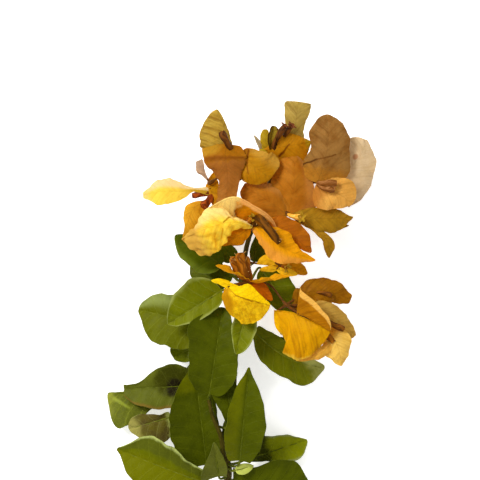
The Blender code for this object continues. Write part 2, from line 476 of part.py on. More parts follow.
def keep_main_body(mesh):
    """Drops the specks and sealed pockets that blades leave where they cross."""
    shape = bmesh.new()
    shape.from_mesh(mesh)
    found = sorted(islands(shape), key=len)
    for island in found[:-1]:
        bmesh.ops.delete(shape, geom=list(island), context="FACES")
    shape.to_mesh(mesh)
    shape.free()


def join(name, pieces, colour):
    """One Boolean union of overlapping closed pieces."""
    first, *others = [add_object(f"{name}_{k}", *piece, colour) for k, piece in enumerate(pieces)]
    group = bpy.data.collections.new(name)
    bpy.context.scene.collection.children.link(group)
    for other in others:
        group.objects.link(other)
    union = first.modifiers.new("join", "BOOLEAN")
    union.operation = "UNION"
    union.operand_type = "COLLECTION"
    union.collection = group
    bpy.context.view_layer.objects.active = first
    bpy.ops.object.modifier_apply(modifier=union.name)
    for other in others:
        bpy.data.objects.remove(other)
    bpy.data.collections.remove(group)
    keep_main_body(first.data)
    first.name = name
    first.data.name = name


def limb_path(name):
    axis = LIMBS[name]["axis"]
    return smooth_path(axis, LIMB_STEPS * (len(axis) - 1) + 1)


def limb_point(name, at):
    """The point, direction and radius of a limb at a share of its length."""
    path = limb_path(name)
    where = at * (len(path) - 1)
    low = min(int(where), len(path) - 2)
    point = path[low] + (path[low + 1] - path[low]) * (where - low)
    first, last = LIMBS[name]["radii"]
    return point, unit(path[low + 1] - path[low]), first + (last - first) * at


def stalk_path(limb, at, end, arriving, steps):
    """A curve that leaves its limb square to it, just clear of its surface, and reaches its end."""
    point, along, radius = limb_point(limb, at)
    out = np.array(end, float) - point
    out = along if at >= 1 else unit(out - (out @ along) * along)
    foot = point + out * (GAP if at >= 1 else radius + GAP)
    reach = STALK_BEND * np.linalg.norm(end - foot)
    t = np.linspace(0, 1, steps + 1)[:, None]
    path = (foot * (1 - t)**3 + 3 * (foot + out * reach) * t * (1 - t)**2
            + 3 * (end - arriving * reach) * t**2 * (1 - t) + end * t**3)
    return path, out


def add_limb(name):
    path = limb_path(name)
    radii = np.linspace(*LIMBS[name]["radii"], len(path))
    sides = STEM_SIDES if name == "main_stem" else TWIG_SIDES
    add_object(name, *tube(path, radii, sides), "bark")


def flower_tube(flower):
    """A slim tube along its path, with a wide rim at its end if it is open."""
    count = len(FLOWER_SWELL)
    path = smooth_path(flower["path"], count)
    radii = np.linspace(*flower["radii"], count) * FLOWER_SWELL
    if "mouth" in flower:
        rim = path[-1] + unit(path[-1] - path[-2]) * MOUTH_LENGTH
        path = np.vstack([path, rim])
        radii = np.append(radii, flower["mouth"] * MOUTH_SPREAD)
    return tube(path, radii, FLOWER_SIDES)


def bract_pieces(bract, centre):
    """A bract's blade, and the foot that ties it to the bloom's centre where it starts away from it."""
    path = smooth_path(bract["rib"], RIB_STEPS + 1)
    sides = [bract.get(side, width * np.array(BRACT_OUTLINE))
             for side, width in zip(("left", "right"), bract.get("width", (0, 0)))]
    pieces = [sheet(blade_surface(path, *sides, bract), BRACT_THICKNESS)]
    if np.linalg.norm(path[0] - centre) > FOOT_START:
        inside = path[0] + unit(path[1] - path[0]) * RECEPTACLE_LENGTH
        pieces.append(tube([centre, inside], FOOT_RADII, FLOWER_SIDES))
    return pieces


def add_bloom(name):
    bloom = BLOOMS[name]
    centre = np.array(bloom["centre"], float)
    heading = unit(centre - limb_point(bloom["limb"], bloom["at"])[0])
    path, out = stalk_path(bloom["limb"], bloom["at"], centre, heading, STALK_STEPS)
    path = np.vstack([path, centre + heading * RECEPTACLE_LENGTH])
    radii = [STALK_RADIUS] * STALK_STEPS + list(RECEPTACLE_RADII)
    pieces = [tube(path, radii, TWIG_SIDES, leaving=out)]
    for given in bloom["bracts"]:
        pieces += bract_pieces({**BRACT, **given}, centre)
    pieces += [flower_tube(flower) for flower in bloom.get("flowers", [])]
    join(name, pieces, bloom["colour"])


def add_leaf(name):
    leaf = {**LEAF, **LEAVES[name]}
    sides = [leaf_outline(width, leaf["base"], leaf["point"]) for width in leaf["width"]]
    blade = blade_surface(leaf_rib(leaf), *sides, leaf)
    columns = blade.shape[1] - 1
    middle = columns // 2
    arriving = unit(blade[1, middle] - blade[0, middle])
    petiole, out = stalk_path(leaf["limb"], leaf["at"], blade[0, middle], arriving, PETIOLE_STEPS)
    along = tangents(petiole)
    along[0] = out
    margin = blade[0, -1] - blade[0, middle]
    across = unit(margin - (along @ margin)[:, None] * along)
    spread = np.linspace(-1, 1, columns + 1) * PETIOLE_RADIUS
    stalk = (petiole[:, None] + across[:, None] * spread[None, :, None])[:-1]
    thickness = [2 * PETIOLE_RADIUS] * PETIOLE_STEPS + [LEAF_THICKNESS] * len(blade)
    add_object(name, *sheet(np.concatenate([stalk, blade]), thickness), leaf["colour"])


def clear_scene():
    for item in list(bpy.data.objects):
        bpy.data.objects.remove(item)


def stand_at_origin():
    """Moves everything so that the middle of its box is over the origin and it stands on the ground."""
    bpy.context.view_layer.update()
    solids = list(bpy.context.scene.objects)
    points = np.array([tuple(vertex.co) for item in solids for vertex in item.data.vertices])
    low, high = points.min(axis=0), points.max(axis=0)
    shift = np.array(((low[0] + high[0]) / 2, (low[1] + high[1]) / 2, low[2]))
    for item in solids:
        item.location = tuple(-shift)


def main():
    clear_scene()
    for name in LIMBS:
        add_limb(name)
    for name in BLOOMS:
        add_bloom(name)
    for name in LEAVES:
        add_leaf(name)
    stand_at_origin()


main()
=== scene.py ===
import math

import bpy
import numpy as np
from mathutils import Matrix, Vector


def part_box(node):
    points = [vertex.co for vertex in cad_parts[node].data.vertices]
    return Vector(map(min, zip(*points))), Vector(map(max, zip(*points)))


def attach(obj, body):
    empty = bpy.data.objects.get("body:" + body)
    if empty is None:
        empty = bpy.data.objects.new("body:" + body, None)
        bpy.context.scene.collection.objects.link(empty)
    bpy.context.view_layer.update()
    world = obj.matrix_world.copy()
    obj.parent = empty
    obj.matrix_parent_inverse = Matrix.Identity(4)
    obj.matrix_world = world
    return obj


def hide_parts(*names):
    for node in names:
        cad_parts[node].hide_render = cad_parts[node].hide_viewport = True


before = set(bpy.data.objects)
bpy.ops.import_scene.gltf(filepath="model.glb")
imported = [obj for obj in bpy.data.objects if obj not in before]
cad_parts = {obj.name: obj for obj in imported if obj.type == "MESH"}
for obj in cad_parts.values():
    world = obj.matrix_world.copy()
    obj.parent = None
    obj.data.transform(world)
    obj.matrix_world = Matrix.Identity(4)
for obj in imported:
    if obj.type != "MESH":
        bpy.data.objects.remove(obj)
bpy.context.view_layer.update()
print("frame loaded:", len(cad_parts), "solids")

mm = 0.001  # shapes are worked out in millimetres, by the solids' own rules, and made metres at the end


def unit(vectors):  # each vector divided by its length
    return vectors / np.linalg.norm(vectors, axis=-1, keepdims=True)


def smoothPath(points, count):
    # Catmull-Rom: on each span a cubic through its ends, with slopes half the way between the neighbours
    points = np.array(points, float)
    padded = np.vstack([2 * points[0] - points[1], points, 2 * points[-1] - points[-2]])
    where = np.linspace(0, len(points) - 1, count)
    span = np.minimum(where.astype(int), len(points) - 2)
    t = (where - span)[:, None]
    p0, p1, p2, p3 = (padded[span + k] for k in range(4))
    return p1 + 0.5 * t * (p2 - p0 + t * (2 * p0 - 5 * p1 + 4 * p2 - p3 + t * (3 * (p1 - p2) + p3 - p0)))


def tangents(path):  # half the step from the point before to the point after, at unit length
    return unit(np.gradient(path, axis=0))


def gridQuads(rows, columns, wrap=False):  # corner numbers of the quads of a rows x columns grid
    i, j = np.meshgrid(np.arange(rows - 1), np.arange(columns if wrap else columns - 1), indexing="ij")
    k = (j + 1) % columns
    quads = [i * columns + j, i * columns + k, (i + 1) * columns + k, (i + 1) * columns + j]
    return np.stack(quads, -1).reshape(-1, 4)


def halfWidth(u, base, point):
    # (u / w)^base * ((1 - u) / (1 - w))^point, which is 1 at its widest, w = base / (base + point)
    widest = base / (base + point)
    return (u / widest) ** base * ((1 - u) / (1 - widest)) ** point


def leafRib(root, tip, shape, count):
    # a leaf's midrib is its chord, raised by a Hermite curve with the slopes "lift" and bowed sideways
    root, tip = np.array(root, float), np.array(tip, float)
    length = np.linalg.norm(tip - root)
    forward = (tip - root) / length
    right = unit(np.cross(forward, (0.0, 0.0, 1.0)))
    u = np.linspace(0, 1, count)[:, None]
    start, end = shape["lift"]
    rise = start * (u - 2 * u**2 + u**3) + end * (u**3 - u**2)
    bow = shape["sway"] * 4 * u * (1 - u)
    return root + (tip - root) * u + length * (np.cross(right, forward) * rise + right * bow)


def spreadAlong(path, u):  # points of a path at the shares u of its length
    steps = np.linalg.norm(np.diff(path, axis=0), axis=1)
    lengths = np.concatenate([[0], np.cumsum(steps)])
    return np.stack([np.interp(u * lengths[-1], lengths, path[:, k]) for k in range(3)], -1), lengths[-1]


def ribFrame(path, turn, u):
    # the blade's right is level and square to its midrib, and its face is square to both; "turn" leans
    # the face to the right
    midrib, length = spreadAlong(path, u)
    step = 0.02
    ahead = spreadAlong(path, np.minimum(u + step, 1))[0]
    behind = spreadAlong(path, np.maximum(u - step, 0))[0]
    along = unit(ahead - behind)
    right = unit(np.cross(along, (0.0, 0.0, 1.0)))
    face = np.cross(right, along)
    angle = math.radians(turn)
    leaned = face * math.cos(angle) + right * math.sin(angle)
    right = right * math.cos(angle) - face * math.sin(angle)
    return midrib, right, leaned, length


def stationed(values, t):
    # a Catmull-Rom curve through values that stand evenly in t, never below nothing
    values = np.array(values, float)
    beyond = -values[-2] if values[-1] == 0 else values[-1]
    padded = np.concatenate([[2 * values[0] - values[1]], values, [beyond]])
    where = np.clip(t, 0, 1) * (len(values) - 1)
    span = np.minimum(where.astype(int), len(values) - 2)
    k = where - span
    p0, p1, p2, p3 = (padded[span + i] for i in range(4))
    return np.maximum(p1 + 0.5 * k * (p2 - p0 + k * (2 * p0 - 5 * p1 + 4 * p2 - p3
                                                     + k * (3 * (p1 - p2) + p3 - p0))), 0)


def bladeSection(v, shape):
    # an arc on each side of the midrib: it leaves at "fold" degrees and turns by "curl" to the margin.
    # Both results are shares of the half width, and the reach is 1 at the margin
    side = (v > 0).astype(int)
    fold = np.radians(np.array(shape["fold"], float))[side]
    curl = np.radians(np.array(shape["curl"], float) + 1e-3)[side]
    span = np.abs(v)
    whole = np.sin(fold + curl) - np.sin(fold)
    reach = (np.sin(fold + curl * span) - np.sin(fold)) / whole
    rise = (np.cos(fold) - np.cos(fold + curl * span)) / whole
    return np.sign(v) * reach, rise


# what makes a blade look grown, in millimetres: quilt is the height of the cushions between the ribs,
# crumple of its creases, billow of its broad swells, frill of its wavy margin and groove the depth over
# the midrib; nibble is the share by which its outline wanders. Relief grows to its full height over the
# share "easeIn" of the length and up to the half width "fullWidth". "narrowest" is the least half width
# at the tip, and how much more it is at the root
relief = dict(
    ribSpacing=6.0, ribSlope=0.75, ribBend=0.012, quilt=0.35, crumple=0.35, crumpleLength=11.0,
    billow=0.0, billowWaves=((0.16, 0.23), (0.27, -0.15)), frill=0.5, frillLength=9.0, frillShare=0.43,
    nibble=0.0, nibbleWaves=(0.42, 0.9), groove=0.3, grooveWidth=0.9, ruffleWaves=(9, 2), easeIn=0.12,
    fullWidth=4.0, narrowest=(0.25, 0.5),
)
creaseWaves = dict(count=5, lengths=(0.7, 1.9), bend=0.7, mean=0.64, whole=2.5)


def ribPhase(x, y, look):
    # side ribs leave the midrib forward and bend on: (y - slope |x| + bend x^2) / spacing, half a
    # spacing apart on the two sides
    a = np.abs(x)
    return (y - look["ribSlope"] * a + look["ribBend"] * a**2) / look["ribSpacing"] + 0.5 * (x > 0)


def crumpled(x, y, length, seed):
    # creases of crumpled paper: |sin| less its mean, of waves in a few random directions, each bent by
    # the last
    waves = creaseWaves
    draw = np.random.default_rng(seed)
    height, bend = np.zeros_like(x), 0.0
    for _ in range(waves["count"]):
        angle, start = draw.uniform(0, math.pi), draw.uniform(0, 2 * math.pi)
        wave = length * draw.uniform(*waves["lengths"])
        phase = math.pi * (x * math.cos(angle) + y * math.sin(angle)) / wave + start
        bend = np.sin(phase + waves["bend"] * bend)
        height = height + (np.abs(bend) - waves["mean"]) * wave / length
    return height / waves["whole"]


def bladeSurface(path, shape, rows, columns, seed):
    # middle surface of a blade on a rows x columns grid. The half width on each side runs through the
    # given stations, even in t where u = (1 - cos(pi t)) / 2; along the normal come cushions between the
    # ribs, creases, a groove over the midrib, folds, and a frilled margin
    look = {**relief, **shape.get("relief", {})}
    t = np.linspace(0, 1, rows + 1)
    u = 0.5 - 0.5 * np.cos(math.pi * t)
    v = np.linspace(-1, 1, columns + 1)
    midrib, right, face, length = ribFrame(path, shape["turn"], u)
    uu, vv = u[:, None] + 0 * v, v + 0 * u[:, None]
    draw = np.random.default_rng(seed)
    shift = draw.uniform(0, 6.3, 6)
    widths = np.stack([stationed(shape["left"], t), stationed(shape["right"], t)], -1)
    least = look["narrowest"][0] + look["narrowest"][1] * (1 - u)
    widths = np.maximum(widths, least[:, None])
    slow, quick = look["nibbleWaves"]
    uneven = np.sin(length * slow * uu + 2.5 * vv + shift[0])
    uneven = uneven + 0.6 * np.sin(length * quick * uu + shift[1])
    half = np.where(vv < 0, widths[:, :1], widths[:, 1:])
    half = half * (1 + look["nibble"] * uneven * np.sin(math.pi * uu))
    reach, rise = bladeSection(vv, shape)
    x = vv * half
    ahead, aside = look["ruffleWaves"]
    ruffle = np.sin(ahead * uu + aside * vv + shift[4]) * np.sin(math.pi * uu)
    rise = rise * half + shape["ruffle"] * vv**2 * ruffle
    middle = midrib[:, None] + right[:, None] * (reach * half)[..., None] + face[:, None] * rise[..., None]
    y = length * uu
    ease = np.clip(uu / look["easeIn"], 0, 1) * np.clip(half / look["fullWidth"], 0, 1)
    cushion = np.abs(np.sin(math.pi * ribPhase(x, y, look))) - 0.6
    height = look["quilt"] * cushion * (1 - vv**2)
    height = height + look["crumple"] * crumpled(x, y, look["crumpleLength"], seed)
    swells = [np.sin(a * x + b * y + shift[k]) for (a, b), k in zip(look["billowWaves"], (2, 5))]
    height = height + look["billow"] * sum(swells)
    frill = np.sin(2 * math.pi * y / look["frillLength"] + 1.5 * vv + shift[2])
    frill = frill + 0.5 * np.sin(2 * math.pi * y / (look["frillShare"] * look["frillLength"]) + shift[3])
    height = height + look["frill"] * np.abs(vv) ** 3 * frill
    height = height - look["groove"] * np.exp(-(x / look["grooveWidth"]) ** 2)
    normal = unit(np.cross(np.gradient(middle, axis=1), np.gradient(middle, axis=0)))
    middle = middle + normal * (height * ease)[..., None]
    return dict(middle=middle, x=x, y=y, u=uu, v=vv, midrib=midrib, face=face)


def closedSheet(blade, thickness, finish):
    # the surface moved half the thickness each way along its normal, and a rim between the two
    middle = blade["middle"]
    rows, columns = middle.shape[:2]
    normal = unit(np.cross(np.gradient(middle, axis=1), np.gradient(middle, axis=0)))
    count = rows * columns
    top = gridQuads(rows, columns)
    last = (rows - 1) * columns
    rim = np.concatenate([np.arange(columns), np.arange(1, rows) * columns + columns - 1,
                          last + np.arange(columns - 2, -1, -1), np.arange(rows - 2, 0, -1) * columns])
    after = np.roll(rim, -1)
    edge = np.stack([count + rim, count + after, after, rim], -1)
    points = np.concatenate([(middle + side * normal * thickness / 2).reshape(-1, 3) for side in (1, -1)])
    place = [np.stack([blade["x"], blade["y"], side + 0 * blade["x"]], -1).reshape(-1, 3) for side in (1, -1)]
    share = np.stack([blade["v"], blade["u"], 0 * blade["u"]], -1).reshape(-1, 3)
    return dict(points=points, faces=[top, count + top[:, ::-1], edge], place=np.concatenate(place),
                share=np.concatenate([share, share]), finish=finish)


def pathAxes(path, along=None):
    # right-angled axes carried along a path, each turned as little as it can from the one before
    along = tangents(path) if along is None else along
    across = np.empty_like(path)
    last = unit(np.cross(along[0], (0.3, 0.2, 1.0)))
    for k in range(len(path)):
        last = unit(last - (last @ along[k]) * along[k])
        across[k] = last
    return along, across, np.cross(along, across)


def ringRound(across, other, sides):
    # once round each point of a path: across cos(turn) + other sin(turn)
    turn = 2 * math.pi * np.arange(sides) / sides
    return turn, across[:, None] * np.cos(turn)[None, :, None] + other[:, None] * np.sin(turn)[None, :, None]


def closedRings(path, ring, radius):
    # points at path + ring radius, joined by quads from ring to ring, and a fan to a point at each end
    rows, sides = radius.shape
    count = rows * sides
    j = np.arange(sides)
    k = (j + 1) % sides
    foot = np.stack([np.full(sides, count), k, j], -1)
    head = np.stack([np.full(sides, count + 1), count - sides + j, count - sides + k], -1)
    points = (path[:, None] + ring * radius[..., None]).reshape(-1, 3)
    return np.vstack([points, path[:1], path[-1:]]), [gridQuads(rows, sides, True), foot, head]


tubeGrain = dict(around=3, length=2.2)


def closedTube(path, radii, sides, finish, lobes=(0, 0.0), bumps=0.0, seed=0):
    # a ring of the given radius round each point of the path, wavy by "lobes" (how many, and their share
    # of the radius) and rough by creases of the height "bumps"
    path = np.array(path, float)
    radii = np.array(radii, float)[:, None]
    _, across, other = pathAxes(path)
    turn, ring = ringRound(across, other, sides)
    radius = radii * (1 + lobes[1] * np.cos(lobes[0] * turn))
    steps = np.concatenate([[0], np.cumsum(np.linalg.norm(np.diff(path, axis=0), axis=1))])[:, None]
    if bumps:
        around = turn * tubeGrain["around"] + 0 * steps
        radius = radius + bumps * crumpled(around, steps + 0 * turn, tubeGrain["length"], seed)
    points, faces = closedRings(path, ring, radius)
    place = np.stack([radii * turn, steps + 0 * turn, 0 * steps + 0 * turn], -1).reshape(-1, 3)
    place = np.vstack([place, place[:1], place[-1:]])
    return dict(points=points, faces=faces, place=place, share=place * 0, finish=finish)


# the solids stand on the origin by the middle of their whole box, so the same move is found from the
# main stem, whose coarse rings are worked out again here
limbs = dict(
    main_stem=dict(
        axis=[(-9, -131, 3.1), (-8, -117, 6), (-9, -101, 11), (-5, -65, 19), (-3, -33, 26), (0, 0, 33),
              (4, 33, 39), (13, 62, 41), (21, 80, 40)],
        radii=(2.6, 1.3), sides=8),
    side_shoot=dict(axis=[(-11, -104, 15), (-12.5, -91, 18), (-18, -77, 23), (-20.5, -66, 26)],
                    radii=(1.9, 1.1), sides=6),
    twig_left=dict(axis=[(14.5, 70, 43), (9, 80, 45), (3, 87, 46)], radii=(1.2, 0.9), sides=6),
    twig_right=dict(axis=[(17, 65, 39), (28, 69, 38), (40, 73, 40)], radii=(1.2, 0.9), sides=6),
    twig_low=dict(axis=[(2.5, 9, 37), (9, 12, 42), (16, 11, 47)], radii=(1.1, 0.9), sides=6),
)


def coarseAxis(name):  # two spans for each stretch of a limb's axis, as the solid has
    axis = limbs[name]["axis"]
    return smoothPath(axis, 2 * (len(axis) - 1) + 1)


def stemMove():
    # the low corner of the solid stem's box, less the low corner of the same rings before the move
    stem = limbs["main_stem"]
    path = coarseAxis("main_stem")
    along = tangents(path)
    across = unit(np.cross(along, (0.3, 0.2, 1.0)))
    _, ring = ringRound(across, np.cross(along, across), stem["sides"])
    radii = np.linspace(*stem["radii"], len(path))
    points = (path[:, None] + ring * radii[:, None, None]).reshape(-1, 3)
    return np.array(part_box("main_stem")[0]) / mm - points.min(axis=0)


move = stemMove()
print("solids moved by", move.round(2), "mm")


def limbPoint(name, at):  # where a share of a limb's axis lies, its direction there and its radius
    path = coarseAxis(name)
    where = at * (len(path) - 1)
    low = min(int(where), len(path) - 2)
    point = path[low] + (path[low + 1] - path[low]) * (where - low)
    first, last = limbs[name]["radii"]
    return point, unit(path[low + 1] - path[low]), first + (last - first) * at


stalkShape = dict(sunk=0.2, past=0.1, handle=0.4)


def stalkPath(limb, at, end, arriving, steps):
    # a cubic from just inside its limb's skin, square to the limb, or from just past the limb's end and
    # on in its direction. The handles at both ends are a share of the stalk's length
    point, along, radius = limbPoint(limb, at)
    out = np.array(end, float) - point
    out = along if at >= 1 else unit(out - (out @ along) * along)
    foot = point + out * (stalkShape["past"] if at >= 1 else radius - stalkShape["sunk"])
    reach = stalkShape["handle"] * np.linalg.norm(end - foot)
    t = np.linspace(0, 1, steps + 1)[:, None]
    return (foot * (1 - t)**3 + 3 * (foot + out * reach) * t * (1 - t)**2
            + 3 * (end - arriving * reach) * t**2 * (1 - t) + end * t**3)


creaseAngle = 55  # degrees past which an edge is drawn sharp


def makePiece(name, parts, finishes, replaced):
    # one mesh of all the parts, in metres at its place, with the attributes that the finishes read
    used = sorted({part["finish"] for part in parts})
    points = np.concatenate([part["points"] for part in parts])
    faces, indices, start = [], [], 0
    for part in parts:
        for group in part["faces"]:
            faces += (group + start).tolist()
            indices.append(np.full(len(group), used.index(part["finish"])))
        start += len(part["points"])
    mesh = bpy.data.meshes.new(name)
    mesh.from_pydata(((points + move) * mm).tolist(), [], faces)
    mesh.shade_smooth()
    mesh.set_sharp_from_angle(angle=math.radians(creaseAngle))
    for key in ("place", "share"):
        values = np.concatenate([part[key] for part in parts]).astype(np.float32)
        mesh.attributes.new(key, "FLOAT_VECTOR", "POINT").data.foreach_set("vector", values.ravel())
    for finish in used:
        mesh.materials.append(finishes[finish])
    mesh.polygons.foreach_set("material_index", np.concatenate(indices).astype(np.int32))
    piece = bpy.data.objects.new(name, mesh)
    bpy.context.scene.collection.objects.link(piece)
    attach(piece, "root")
    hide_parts(replaced)


def tone(colour):  # red, green and blue from 0 to 255 as seen, to the linear values that a shader takes
    c = np.array(colour, float) / 255
    return (*np.where(c <= 0.04045, c / 12.92, ((c + 0.055) / 1.055) ** 2.4).tolist(), 1.0)


class Nodes:
    # a short way to write a node tree: each call makes a node, joins its inputs and gives its output
    def __init__(self, name):
        self.made = bpy.data.materials.new(name)
        self.made.use_nodes = True
        self.tree = self.made.node_tree
        self.shader = self.tree.nodes["Principled BSDF"]
        self.output = self.tree.nodes["Material Output"]

    def join(self, value, socket):  # a link from a socket, or else the value itself
        if isinstance(value, bpy.types.NodeSocket):
            self.tree.links.new(value, socket)
        else:
            socket.default_value = value

    def add(self, kind, inputs, out=0, **settings):  # any node, its settings and inputs, and one output
        node = self.tree.nodes.new(kind)
        for key, value in settings.items():
            setattr(node, key, value)
        for key, value in inputs.items():
            self.join(value, node.inputs[key])
        return node.outputs[out]

    def math(self, operation, *values, clamp=False):  # one sum of plain numbers
        return self.add("ShaderNodeMath", dict(enumerate(values)), operation=operation, use_clamp=clamp)

    def ramp(self, value, low, high):  # 0 at low to 1 at high, with soft ends
        return self.add("ShaderNodeMapRange", {0: value, 1: low, 2: high}, interpolation_type="SMOOTHSTEP")

    def mix(self, share, first, second):  # first at a share of 0, second at 1
        return self.add("ShaderNodeMix", {0: share, 6: first, 7: second}, out=2, data_type="RGBA")

    def split(self, name):  # one of the mesh's attributes, whole and as its three numbers
        vector = self.add("ShaderNodeAttribute", {}, out=1, attribute_name=name)
        node = self.tree.nodes.new("ShaderNodeSeparateXYZ")
        self.join(vector, node.inputs[0])
        return vector, node.outputs

    def lineDistance(self, x, y, start, end):  # from the point (x, y) to the nearest of a straight stretch
        run, climb = end[0] - start[0], end[1] - start[1]
        dx, dy = self.math("SUBTRACT", x, start[0]), self.math("SUBTRACT", y, start[1])
        size = run * run + climb * climb
        share = self.math("MULTIPLY_ADD", dx, run / size, self.math("MULTIPLY", dy, climb / size), clamp=True)
        dx, dy = self.math("MULTIPLY_ADD", share, -run, dx), self.math("MULTIPLY_ADD", share, -climb, dy)
        return self.math("SQRT", self.math("MULTIPLY_ADD", dx, dx, self.math("MULTIPLY", dy, dy)))

    def noise(self, vector, scale, detail=3.0):  # soft random values about 0.5
        return self.add("ShaderNodeTexNoise", {"Vector": vector, "Scale": scale, "Detail": detail,
                                               "Roughness": 0.55})


# a blade's finish. Colours are as seen. tints: (direction, from, to, colour), where a direction is
# "along" from root to tip, "across" from its left margin -1 to its right 1, or "margin" from its midrib
# to either margin; spots: (across, along, radius across, radius along, colour); shadeAndCreaseLines:
# straight lines (x, y, x, y, half width, colour), in mm to the right of the midrib and along it. Most of
# them are painted shade in folds and creases and along margins that lie over other bracts; a few are pale
# lines
bladeLook = dict(
    body=(200, 150, 40), shade=(170, 115, 20), ribs=(150, 95, 20), under=None, tints=[], spots=[], shadeAndCreaseLines=[],
    ribShare=0.28, netShare=0.14, streaks=0.4, mottle=0.45, mottleScale=0.16, glow=0.45, gloss=0.5,
    shine=0.06, ribWidth=0.25, netSize=2.4, netEdge=0.09, bump=0.5, bumpDepth=0.0004, ribSpacing=5.0,
    ribSlope=1.1, ribBend=0.012, drift=1.6, driftScale=0.35, mottleFrom=0.4, mottleTo=0.65, streakFrom=0.42,
    streakTo=0.66, streakWidth=1.6, streakLength=0.05, blur=0.24, blurScale=0.22, spotOut=1.15,
    spotIn=0.6, fineScale=1.6,
)


def bladeFinish(name, given):
    # body and shade mixed by a mottle, then streaks along the side ribs, tints, spots and the lines of
    # painted shade and creases, and at last the net and the ribs. A rib is where (y - slope |x| + bend x^2) /
    # spacing is near a whole number
    look = {**bladeLook, **given}
    n = Nodes(name)
    place, (x, y, side) = n.split("place")
    v, u, _ = n.split("share")[1]
    drift = n.noise(place, look["driftScale"], 2.0)
    a = n.math("ABSOLUTE", x)
    right = n.math("MULTIPLY", n.math("GREATER_THAN", x, 0.0), 0.5)
    bow = n.math("MULTIPLY", n.math("MULTIPLY", a, a), look["ribBend"])
    lean = n.math("MULTIPLY_ADD", a, -look["ribSlope"], n.math("ADD", y, bow))
    wander = n.math("MULTIPLY_ADD", drift, look["drift"], y)  # one drift shifts the lines of painted shade and creases, and the ribs
    lean = n.math("MULTIPLY_ADD", drift, look["drift"], lean)
    phase = n.math("ADD", n.math("DIVIDE", lean, look["ribSpacing"]), right)
    off = n.math("ABSOLUTE", n.math("SUBTRACT", n.math("FRACT", n.math("ADD", phase, 0.5)), 0.5))
    far = n.math("MULTIPLY", off, look["ribSpacing"] * 0.8)
    sideRib = n.ramp(far, look["ribWidth"], 0.0)
    thin = n.math("MULTIPLY_ADD", u, -0.5, 0.75)  # the midrib thins to a third at the tip
    midRib = n.ramp(a, n.math("MULTIPLY", thin, 2.2 * look["ribWidth"]), 0.0)
    warped = n.add("ShaderNodeVectorMath", {0: place, 1: n.add("ShaderNodeTexNoise", {
        "Vector": place, "Scale": 0.5}, out=1)}, operation="ADD")
    cells = n.add("ShaderNodeTexVoronoi", {"Vector": warped, "Scale": 1 / look["netSize"]},
                  feature="DISTANCE_TO_EDGE", voronoi_dimensions="2D")
    net = n.ramp(cells, look["netEdge"], 0.0)
    ribs = n.math("MAXIMUM", midRib, n.math("MULTIPLY", sideRib, 0.8))
    mottle = n.ramp(n.noise(place, look["mottleScale"], 4.0), look["mottleFrom"], look["mottleTo"])
    colour = n.mix(n.math("MULTIPLY", mottle, look["mottle"]), tone(look["body"]), tone(look["shade"]))
    strip = n.add("ShaderNodeCombineXYZ", {
        0: n.math("MULTIPLY", phase, look["streakWidth"]), 1: n.math("MULTIPLY", a, look["streakLength"]),
        2: n.math("MULTIPLY", right, 9.0)})
    streak = n.ramp(n.noise(strip, 1.0), look["streakFrom"], look["streakTo"])
    colour = n.mix(n.math("MULTIPLY", streak, look["streaks"]), colour, tone(look["ribs"]))
    ways = dict(along=u, across=v, margin=n.math("ABSOLUTE", v))
    blur = n.math("MULTIPLY_ADD", n.noise(place, look["blurScale"]), look["blur"], -look["blur"] / 2)
    for way, low, high, tint in look["tints"]:
        value = n.math("ADD", ways[way], blur)
        colour = n.mix(n.ramp(value, low, high), colour, tone(tint))
    for across, along, wide, long, tint in look["spots"]:
        dx = n.math("DIVIDE", n.math("SUBTRACT", v, across), wide)
        dy = n.math("DIVIDE", n.math("SUBTRACT", u, along), long)
        away = n.math("SQRT", n.math("ADD", n.math("MULTIPLY", dx, dx), n.math("MULTIPLY", dy, dy)))
        away = n.math("ADD", away, n.math("MULTIPLY", blur, 2.0))
        colour = n.mix(n.ramp(away, look["spotOut"], look["spotIn"]), colour, tone(tint))
    # lines of painted shade in folds, creases and along overlapping margins, and a few pale lines
    for x0, y0, x1, y1, wide, tint in look["shadeAndCreaseLines"]:
        away = n.lineDistance(x, wander, (x0, y0), (x1, y1))
        colour = n.mix(n.ramp(away, wide, 0.0), colour, tone(tint))
    colour = n.mix(n.math("MULTIPLY", net, look["netShare"]), colour, tone(look["ribs"]))
    colour = n.mix(n.math("MULTIPLY", ribs, look["ribShare"]), colour, tone(look["ribs"]))
    if look["under"]:
        colour = n.mix(n.math("LESS_THAN", side, 0.0), colour, tone(look["under"]))
    fine = n.noise(place, look["fineScale"], 4.0)
    raised = n.math("MULTIPLY_ADD", ribs, 1.0, n.math("MULTIPLY", fine, 0.5))
    raised = n.math("MULTIPLY_ADD", net, 0.35, raised)
    normal = n.add("ShaderNodeBump", {"Height": raised, "Strength": look["bump"],
                                      "Distance": look["bumpDepth"]})
    n.join(colour, n.shader.inputs["Base Color"])
    n.join(n.math("MULTIPLY_ADD", fine, 0.3, look["gloss"] - 0.15), n.shader.inputs["Roughness"])
    n.join(normal, n.shader.inputs["Normal"])
    n.shader.inputs["Specular IOR Level"].default_value = look["shine"]
    through = n.add("ShaderNodeBsdfTranslucent", {"Color": colour, "Normal": normal})
    blend = n.add("ShaderNodeMixShader", {0: look["glow"], 1: n.shader.outputs[0], 2: through})
    n.join(blend, n.output.inputs["Surface"])
    return n.made


